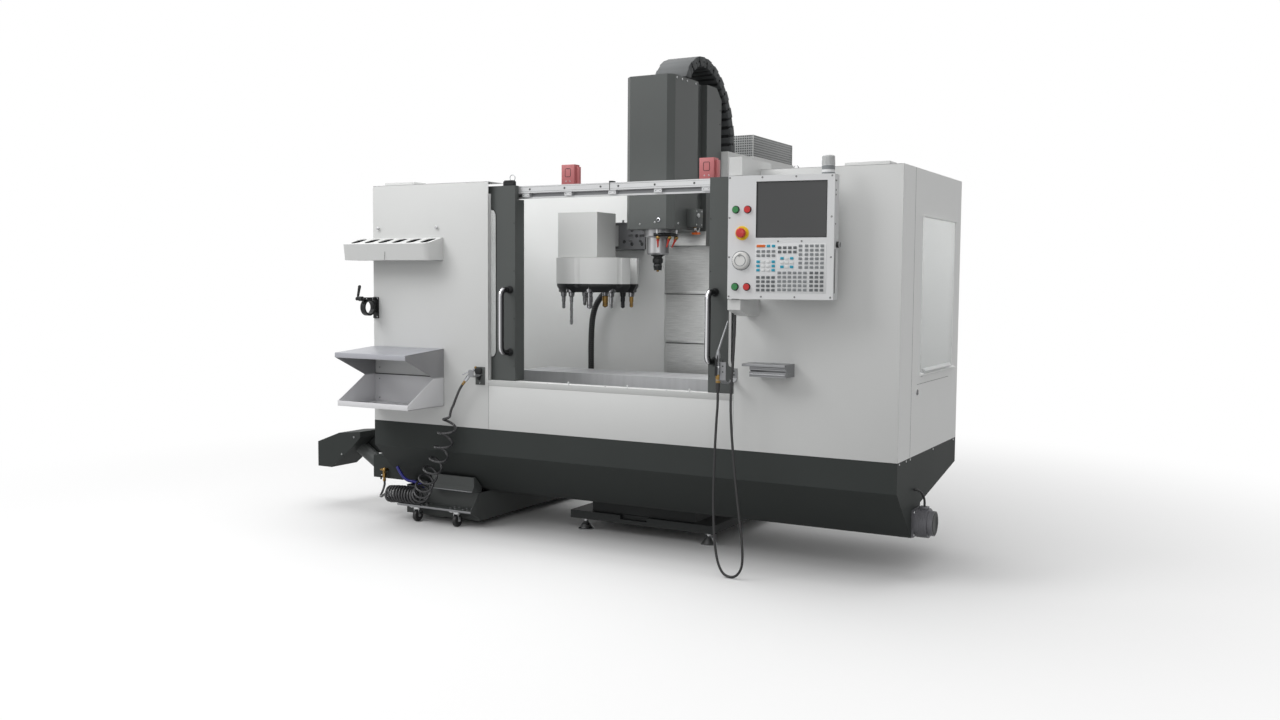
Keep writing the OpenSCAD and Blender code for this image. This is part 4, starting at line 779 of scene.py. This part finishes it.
# Panels and what hangs on them
def rack_shell():
    """A rack with a sloping top, a rounded corner and six long holes for tool holders."""
    left, right, deep, low, high, count = -1472, -932, 125, 1361, 1475, 6
    corner_r, slope, taper, hole_y, hole_r, hole_half = 34, 0.264, 0.92, -60, 26, 20
    pitch = (right - left) / count
    p = Piece("rack_shell", "frame", light, seam, steel, black)

    def top(x, y):
        """The point of the sloping top over (x, y), drawn in to the rounded corner."""
        corner = Vector((x - right + corner_r, y + deep - corner_r))
        if corner.x > 0 and corner.y < 0 and corner.length > corner_r:
            corner = corner_r * corner.normalized()
            x, y = right - corner_r + corner.x, corner_r - deep + corner.y
        return Vector((x, y, high + slope * y))

    def strip(look, first, second):
        """A band of faces between two rows of points."""
        part = bmesh.new()
        a, b = ([part.verts.new(v) for v in row] for row in (first, second))
        for k in range(len(a) - 1):
            part.faces.new([a[k], a[k + 1], b[k + 1], b[k]])
        bmesh.ops.recalc_face_normals(part, faces=part.faces)
        p.add(part, look)

    for n in range(count):
        cx, hole, rim = left + pitch * (n + 0.5), [], []
        for k in (*range(33), 0):
            c, d = turned(0, 0, 1, 360 * k / 32)
            wide = max(abs(c), abs(d))
            hole.append(top(cx + hole_r * c, hole_y + hole_r * d + math.copysign(hole_half, d)))
            rim.append(top(cx + pitch / 2 * c / wide, hole_y + (-hole_y if d > 0 else deep + hole_y) * d / wide))
        sunk = [v - Vector((0, 0, 3)) for v in hole]
        strip(0, rim, hole)
        strip(0, hole, sunk)
        # The walls down into each hole are black: painted shade for the dark inside of the holes
        strip(3, sunk, [Vector((v.x, v.y, low + 40)) for v in hole])
    bend = [turned(right - corner_r, corner_r - deep, corner_r, 11.25 * k - 90) for k in range(9)]
    edge = [top(x, y) for x, y in [(left, 0), (left, -deep)] + bend + [(right, 0)]]
    foot = [Vector((v.x, taper * v.y, low)) for v in edge]
    strip(0, edge, foot)
    p.plate(foot, 2, 0, 0.3, Matrix.Translation((0, 0, low)))
    lean = Matrix.Rotation(-math.atan2(10, 81), 4, "X")
    p.box((-1203, -1201.6), (-120.6, -119), (1362, 1442), 1, 0.2, lean)
    for x in (-1347, -969):
        p.rod((x, 0, 1525), (x, -9, 1525), 4, 2, 12)
        p.lathe((x, -9, 1525), FRONT, [(8, 0), (8, 2), (6, 4), (0, 4.4)], 2, 16)
    p.done("tool_rack")


def bin_shell():
    """Hood with a sloping top and a lip, over an open tray, between two notched sides."""
    p = Piece("bin_shell", "frame", bin_coat, steel, black, shelf)
    notched = [(0, 635), (-275, 635), (-275, 660), (-80, 779), (-291, 878), (-291, 901), (0, 922)]
    for x in (-1380, -933):
        p.plate(notched, 3, 0, 0.6, yz_plane(x))
    p.plate([(0, 922), (0, 919), (-289, 898), (-289, 901)], 450, 3, 0.5, yz_plane(-1380))
    p.box((-1380, -930), (-292.6, -289), (877, 902), 3, 1)
    p.plate([(0, 635), (0, 638), (-275, 638), (-275, 635)], 450, 0, 0.6, yz_plane(-1380))
    p.box((-1380, -930), (-276.6, -273), (635, 661), 0, 1)
    p.box((-1380, -930), (-3, 0), (635, 779), 0, 0.6)
    p.box((-1380, -930), (-5, 0), (778, 781.5), 2, 0.6)
    for x, z in ((-1347, 812), (-1347, 754), (-1347, 656), (-963, 812), (-963, 656)):
        p.screw((x, -3, z), FRONT, 4, 1, 2)
    p.done("parts_bin")


def vise_body():
    p = Piece("vise_body", "frame", oxide, steel, black)
    p.box((-1384, -1350), (-8, 0), (1065, 1175), 0, 2)
    p.box((-1381, -1359), (-101, -6), (1160, 1173), 0, 3)
    eye = [(5.6, 0), (11.5, 0), (12, 0.6), (12, 21.4), (11.5, 22), (5.6, 22), (5.6, 0)]
    p.lathe((-1381, -112, 1166), RIGHT, eye, 0, 24)
    p.box((-1383, -1357), (-30, -4), (1096, 1148), 0, 2)
    ring = [(32, 0), (33, -0.8), (42, -0.8), (43, 0), (43, 27), (42, 27.8), (33, 27.8), (32, 27), (32, 0)]
    p.lathe((-1384, -60, 1122), RIGHT, ring, 0, 48)
    for z in (1074, 1166):
        p.screw((-1355, -8, z), FRONT, 4.2, 1, 2)
    for y in (-40, -84):
        p.screw((-1357, y, 1166), RIGHT, 3.4, 1, 2)
    p.done("holder_vise")


def lever_grip():
    p = Piece("lever_grip", "vise_lever", black, oxide)
    turn = Vector((0, math.sin(math.radians(14)), math.cos(math.radians(14))))
    p.lathe((-1393, -112, 1166), turn, [(5.3, 14), (6.2, 16), (6.8, 40), (7.8, 60), (7.6, 66), (5, 70), (0, 71)], 0, 18)
    p.lathe((-1401, -112, 1166), RIGHT, [(0, -1), (6, -1), (9.4, 1), (9.4, 6)], 1, 6)
    p.done()


def gun_hooks():
    p = Piece("gun_hook_trim", "frame", black, mid, steel)
    p.box((-731.5, -675.5), (-3.8, -0.2), (752.5, 840.5), 1, 1)
    p.plate([(-738, 830), (-694, 838), (-690, 826), (-703, 776), (-712, 776)], 8, 0, 2, xz_plane(-12))
    for z in (830, 762):
        p.screw((-704, -6, z), FRONT, 3, 2, 0)
    p.tube([(659, -119, 926), (659, -121, 932), (659, -118, 936)], 2.4, 0, 8)
    for y, z in ((-121, 908), (-121, 884), (-6, 880), (-6, 864)):
        p.lathe((659, y, z), FRONT, [(3.4, -0.4), (3.4, 0.15), (0, 0.1)], 0, 16)
    p.done()


def air_gun_trim():
    axis = Vector((math.sin(math.radians(42)), 0, math.cos(math.radians(42))))
    at = Vector((-765, -60, 758))
    p = Piece("air_gun_trim", "frame", brass, black, chrome)
    p.lathe(at, axis, [(5.6, -4), (7.4, -3), (7.4, 8), (6.2, 9)], 0, 6)
    p.lathe(at, axis, [(6.2, 9), (7.6, 10), (7.6, 21), (6.2, 23)], 0, 6)
    p.lathe(at, axis, [(9.1, 62), (9.6, 63), (9.6, 70), (9.1, 71)], 2, 24)
    p.lathe(at, axis, [(3.2, 108), (4.6, 109), (4.6, 117), (2.6, 119.5), (0, 119.6)], 0, 14)
    p.done()


def wash_gun_trim():
    p = Piece("wash_gun_trim", "frame", brass, steel, rubber)
    c = (635.2, -117, 0)
    p.lathe(c, UP, [(6.2, 794), (8.4, 796), (9.8, 812), (9.9, 836)], 2, 24)
    p.lathe(c, UP, [(9.7, 836), (10.6, 837), (10.6, 850), (9.7, 851)], 0, 6)
    p.lathe(c, UP, [(9.7, 851), (10.3, 852), (10.3, 871), (9.7, 872)], 0, 24)
    p.lathe(c, UP, [(9.6, 900), (10, 902), (10, 906), (9.6, 908)], 1, 24)
    p.done()


def tray_trim():
    p = Piece("tray_trim", "frame", plated, steel, black)
    for z in (879, 908):
        p.rod((774, -98, z), (934, -98, z), 5.5, 0, 12)
    for x in (770, 935):
        for y in (-40, -70):
            p.screw((x, y, 884), (1 if x > 900 else -1, 0, 0), 3.4, 1, 2)
    p.box((742, 936), (-111, -108), (912, 923), 0, 1)
    p.done()


def door_trim(body, at):
    p = Piece(body + "_trim", body, black, steel, seam, light, at=at)
    for x in (524, 1202):
        for z in (850, 1080, 1310, 1540):
            p.screw((x, 30, z), FRONT, 2.6, 0, 0)
    if body == "right_door":
        # The strip in the light coat is painted light: it stands for the bright edge of the window pane between stile
        # and panel
        strip = [(616, 912), (619, 899), (631, 893), (631, 1604), (619, 1598), (616, 1586)]
        p.plate(strip, 1, 3, 0.3, xz_plane(29.2))
    ring = [(863 + a * 233, 1248.6 + b * 359.3) for a, b in rounded_ring(0.1, 4)]
    p.tube([(x, 31.5, z) for x, z in ring], 3.2, 0, 8, closed=True)
    p.done()


def door_handle(body, at):
    """A bent chrome tube, its bands of grey painted reflections, with dark feet."""
    low, high = 917, 1220
    p = Piece(body + "_handle_tube", body, handle_chrome, black, at=at)
    path = [(548, 28, low)] + [(548, *turned(-14, low + 30, 30, -90 - 11.25 * k)) for k in range(9)]
    path += [(548, y, low + high - z) for _, y, z in reversed(path)]
    p.tube(path, 14, 0, 20)
    for z in (low, high):
        p.lathe((548, 30, z), FRONT, [(19, 0), (19, 3), (17.5, 14), (14.4, 24), (14.2, 26)], 1, 28)
    p.done(body + "_handle", angle=40)


def left_door_latch():
    p = Piece("left_door_latch", "left_door", black, chrome)
    p.box((-592, -530), (34, 58), (1719, 1742), 0, 3)
    p.box((-584, -536), (32, 59), (1736, 1746), 0, 2)
    ring = [turned(-544, 1757, 15, t) for t in range(0, 360, 15)]
    p.tube([(x, 46, z) for x, z in ring], 2, 1, 8, closed=True)
    p.done()


def front_sheets():
    """Front panels with folded edges, the apron and the sill."""
    p = Piece("front_sheets", "frame", light, steel, slide_coat)
    half = [((655, 1386), (0, 3), (536, 1742)), ((655, 658), (0, 24), (777, 1683)),
            ((655, 1382.7), (0, 125), (1739, 1742)), ((1132, 1322), (20, 115), (1740, 1757))]
    for x, y, z in half + [((-x[1], -x[0]), y, z) for x, y, z in half]:
        p.box(x, y, z, 0, 1.2)
    p.box((-654.7, 654.7), (0, 3), (536, 752), 0, 0.6)
    p.box((-654.7, 654.7), (-0.6, 3.3), (750, 777), 2, 0.4)
    p.box((-1383, 1383), (3.3, 66), (774, 777), 0, 0.6)
    p.box((-1383, 1383), (63, 66), (536, 777), 0, 0.6)
    p.done("front_panels")


def panel_trim():
    p = Piece("panel_trim", "frame", steel, seam, handle_chrome, black, key_white)
    p.lathe((1386, 260, 805), RIGHT, [(13, 0), (13, 2), (10, 6), (0, 7)], 2, 24)
    p.box((1384, 1404), (335, 783), (893, 897), 4, 1, Matrix.Rotation(math.radians(35), 4, "Y"))
    p.box((1385.6, 1389), (318, 342), (866, 900), 4, 0.8)
    p.box((1385.2, 1386.3), (262, 780), (837, 838.5), 1, 0)
    for y in (26, 125, 185, 546, 906):
        p.screw((1386, y, 528), RIGHT, 4.5, 4, 0)
    p.box((1385.2, 1386.3), (176, 178), (538, 1740), 1, 0)
    for x in (-640, -320, 0, 320, 640):
        p.screw((x, 15, 777), UP, 4, 0, 1)
    for x in (-198, 121, 438):
        p.rod((x, 8, 776), (x, 8, 791), 4.6, 4, 6)
    for x in (-654.9, 654.9):
        p.box((x - 0.4, x + 0.4), (-0.4, 1), (538, 774), 1, 0)
    arc = [turned(0, 0, 1, t) for t in range(0, 181, 15)]
    p.tube([(905 + 12 * c, 60, 1743 + 15 * d) for c, d in arc], 1.8, 2, 8)
    p.box((888, 922), (52, 68), (1742, 1746), 3, 1.2)
    p.done()


# Chips, coolant and the lower front
def tank_shell():
    """Open tank with a ledge for the casters, a sloping end plate and a lid that follows the pan."""
    p = Piece("tank_shell", "frame", tank_coat, mid, steel, plated)
    left, right = -1310, -830
    p.box((left, right), (160, 1250), (30, 33), 0, 1)
    for y in (160, 1247):
        p.box((left, right), (y, y + 3), (30, 180), 0, 1)
    for x in (left, right - 3):
        p.box((x, x + 3), (160, 1250), (30, 180), 0, 1)
    for x, y in (((left, right), (160, 420)), ((left, right), (1190, 1250)), ((left, left + 40), (160, 1250)),
                 ((right - 40, right), (160, 1250))):
        p.box(x, y, (177, 180), 0, 0.8)
    for y in ((82, 163), (1247, 1328)):
        p.box((left, right), y, (82, 92), 1, 1)
    p.box((left - 0.4, right + 0.4), (81.2, 84), (81.6, 92.6), 3, 1)
    p.plate([(82, 82), (162, 44), (162, 178), (152, 178), (82, 92)], 3, 0, 0.6, yz_plane(right - 2.6))
    lid = [(164, 176), (98, 190), (116, 212), (116, 262), (130, 262), (182, 210), (182, 176)]
    p.plate(lid, 271, 0, 1, yz_plane(-1105))
    p.plate([(96.6, 189.6), (99.8, 193.5), (101.2, 192.3), (98, 188.6)], 271.6, 3, 0.3, yz_plane(-1105.3))
    for x in (-1160, -1130, -975, -945, -895, -865):
        for y in (104, 140):
            p.lathe((x, y, 92), UP, [(6, 0), (6, 4), (5, 5), (0, 5)], 3, 6)
    p.done("coolant_tank")


def chute_trim():
    """Screws on the chute's front plate, its tube's sleeve and the duct behind."""
    p = Piece("chute_trim", "frame", dark, mid, steel, black)
    ends = [turned(-1765, 353, along, -32) for along in (34, 238)]
    p.rod(*((x, 280, z) for x, z in ends), 36.8, 1, 40)
    p.box((-1725, -1388), (300, 378), (305, 420), 0, 2)
    for x, z in ((-1700, 400), (-1790, 300)):
        p.screw((x, 180, z), FRONT, 5, 2, 3)
    p.screw((-1403, 215, 267), FRONT, 5, 2, 3)
    p.done()


def casters():
    p = Piece("casters", "frame", rubber, steel, black)
    tread = [(8, -11), (24, -10), (29, -10.5), (31.5, -8), (32, -3), (32, 3), (31.5, 8), (29, 10.5), (24, 10), (8, 11)]
    for x in (-1201, -942):
        for y in (117, 1293):
            p.box((x - 30, x + 30), (y - 30, y + 30), (77, 81.8), 1, 1)
            for sx in (-22, 22):
                for sy in (-22, 22):
                    p.lathe((x + sx, y + sy, 77), (0, 0, -1), [(4, 0), (4, 3), (0, 3)], 1, 6)
            p.lathe((x, y, 66), UP, [(20, 0), (21, 4), (19, 11)], 1, 24)
            for side in (-16, 13):
                p.plate([(y - 13, 66), (y + 13, 66), (y + 8, 26), (y - 8, 26)], 3, 1, 0.6, yz_plane(x + side))
            p.lathe((x, y, 32), RIGHT, tread, 0, 32)
            p.rod((x - 19, y, 32), (x + 19, y, 32), 5, 1, 12)
    p.done("tank_casters")


def brass_valve():
    p = Piece("brass_valve", "frame", brass, black, steel)
    x, y, z = -1490, 188, 175
    p.lathe((x, y, 0), UP, [(6.4, z), (9.2, z + 1), (9.2, z + 13), (7, z + 14)], 0, 6)
    p.lathe((x, y, 0), UP, [(7, z + 14), (7, z + 20), (10, z + 22), (11, z + 32), (10, z + 42), (7.4, z + 44)], 0, 24)
    p.lathe((x, y, 0), UP, [(7.4, z + 44), (9.4, z + 45), (9.4, z + 54), (7.6, z + 55), (7.6, z + 62)], 0, 6)
    p.lathe((x, y, z + 62), UP, ball(12), 0, 24)
    p.lathe((x, y, z + 62), (0, 1, 0), [(9, 6), (9, 14), (7.6, 15), (7.6, 27)], 0, 6)
    p.lathe((x, y, z + 62), (-1, 0, 0), [(8, 8), (8, 14), (6.4, 15), (6.4, 26), (5, 27), (0, 27)], 0, 6)
    p.rod((x - 12, y, z + 32), (x - 22, y, z + 32), 4, 2)
    p.box((x - 26, x - 21), (y - 5, y + 5), (z + 8, z + 38), 1, 1.5)
    p.done("air_valve")


def motor_trim():
    p = Piece("motor_trim", "frame", motor_grey, steel, black)
    for k in range(7):
        x = 1400 + 7.5 * k
        p.lathe((x, 280, 248), RIGHT, [(61.5, 0), (64, 0.6), (64, 2.6), (61.5, 3.2)], 0, 40)
    p.box((1405, 1443), (262, 298), (306, 318), 0, 3)
    for y in (232, 328):
        for z in (200, 296):
            p.screw((1396, y, z), RIGHT, 5, 1, 2)
    p.lathe((1472, 280, 248), RIGHT, [(50, -2), (50, 0.4), (46, 1.6), (30, 1.6), (28, 0.4), (0, 0.4)], 2, 40)
    p.done()


def vent_cage():
    p = Piece("vent_cage", "frame", mesh_sheet, light)
    p.box((-301, 166), (1299, 1871), (1950, 2065.6), 0, 1.2)
    for x in (-301, 166):
        for y in (1299, 1871):
            p.box((x - 2, x + 2), (y - 2, y + 2), (1950, 2066), 1, 0.6)
    p.done()


for make in (rail_fittings, interlock_trim, head_trim, tool_in_spindle, coolant_ring, cover_lips, chain_links,
             carousel_tool_set, bracket_bolts, wall_patch, keypad_keys, pendant_trim, jog_ribs, rack_shell, bin_shell,
             vise_body, front_sheets, lever_grip, gun_hooks, air_gun_trim, wash_gun_trim, tray_trim, left_door_latch,
             panel_trim, tank_shell, chute_trim, casters, brass_valve, motor_trim, vent_cage):
    make()
for body, at in (("left_door", FLIP), ("right_door", AS_IS)):
    door_trim(body, at)
    door_handle(body, at)


# World, floor and lamps
WHITE = (1, 1, 1, 1)


def seen_directly(t):
    """1 for rays from the camera, a glossy face or a pane, and 0 for those that only carry light."""
    rays = node(t, "LightPath").outputs
    last = rays["Is Camera Ray"]
    for kind in ("Is Glossy Ray", "Is Transmission Ray"):
        larger = node(t, "Math", operation="MAXIMUM")
        t.links.new(last, larger.inputs[0])
        t.links.new(rays[kind], larger.inputs[1])
        last = larger.outputs[0]
    return last


def mix_shaders(t, share, first, second):
    mix = node(t, "MixShader")
    for n, source in enumerate((share, first.outputs[0], second.outputs[0])):
        t.links.new(source, mix.inputs[n])
    return mix


def studio_world():
    """White to look at, and dimmer as a light."""
    world = bpy.data.worlds.new("studio")
    bpy.context.scene.world = world
    world.use_nodes = True
    t = world.node_tree
    t.nodes.clear()
    dim, full = (node(t, "Background", Color=WHITE, Strength=strength) for strength in (0.42, 1.0))
    mix = mix_shaders(t, seen_directly(t), dim, full)
    t.links.new(mix.outputs[0], node(t, "OutputWorld").inputs[0])


def pale_floor():
    """Lit near the machine, where its shadow falls, and fading to white away from it."""
    bpy.ops.mesh.primitive_plane_add(size=120, location=(0, 0, 0))
    floor = bpy.context.object
    floor.name = "floor"
    m = material("pale_floor", (0.8, 0.8, 0.8, 1), 0.75, grain=30, bump=0.0, vary=0.003, rough_vary=0.02)
    t = m.node_tree
    join = t.links.new
    far = node(t, "VectorMath", operation="LENGTH")
    join(node(t, "TexCoord").outputs["Object"], far.inputs[0])
    share = node(t, "MapRange", interpolation_type="SMOOTHSTEP", From_Min=1.2, From_Max=4.6)
    join(far.outputs["Value"], share.inputs["Value"])
    both = node(t, "Math", operation="MULTIPLY")
    join(share.outputs[0], both.inputs[0])
    join(seen_directly(t), both.inputs[1])
    dim = node(t, "BsdfDiffuse", Color=(0.4, 0.4, 0.4, 1))
    near = mix_shaders(t, seen_directly(t), dim, node_of(t, "BSDF_PRINCIPLED"))
    mix = mix_shaders(t, both.outputs[0], near, node(t, "Emission", Color=WHITE))
    join(mix.outputs[0], node_of(t, "OUTPUT_MATERIAL").inputs[0])
    floor.data.materials.append(m)


def lamp(name, at, aim, size, power):
    data = bpy.data.lights.new(name, "AREA")
    data.shape = "RECTANGLE"
    data.size, data.size_y = size
    data.energy = power
    o = bpy.data.objects.new(name, data)
    bpy.context.scene.collection.objects.link(o)
    o.location = at
    o.rotation_mode = "QUATERNION"
    o.rotation_quaternion = (Vector(aim) - Vector(at)).to_track_quat("-Z", "Y")


studio_world()
pale_floor()
lamp("key_lamp", (-3.2, -4.8, 5.2), (-0.4, 0, 1.3), (3.4, 3), 185)
lamp("top_lamp", (-0.5, -0.4, 6.2), (0, 0.1, 0), (8, 7), 280)
lamp("fill_lamp", (2.8, -6.4, 3.2), (0, 0, 1.3), (4, 3), 60)
lamp("work_lamp", P(-420, 420, 3300), P(-250, 700, 900), (1.2, 1.0), 10)
lamp("strip_lamp", P(0, 150, 1676), P(0, 946, 900), (1.25, 0.06), 1.0)

bpy.context.scene.view_settings.view_transform = "Standard"
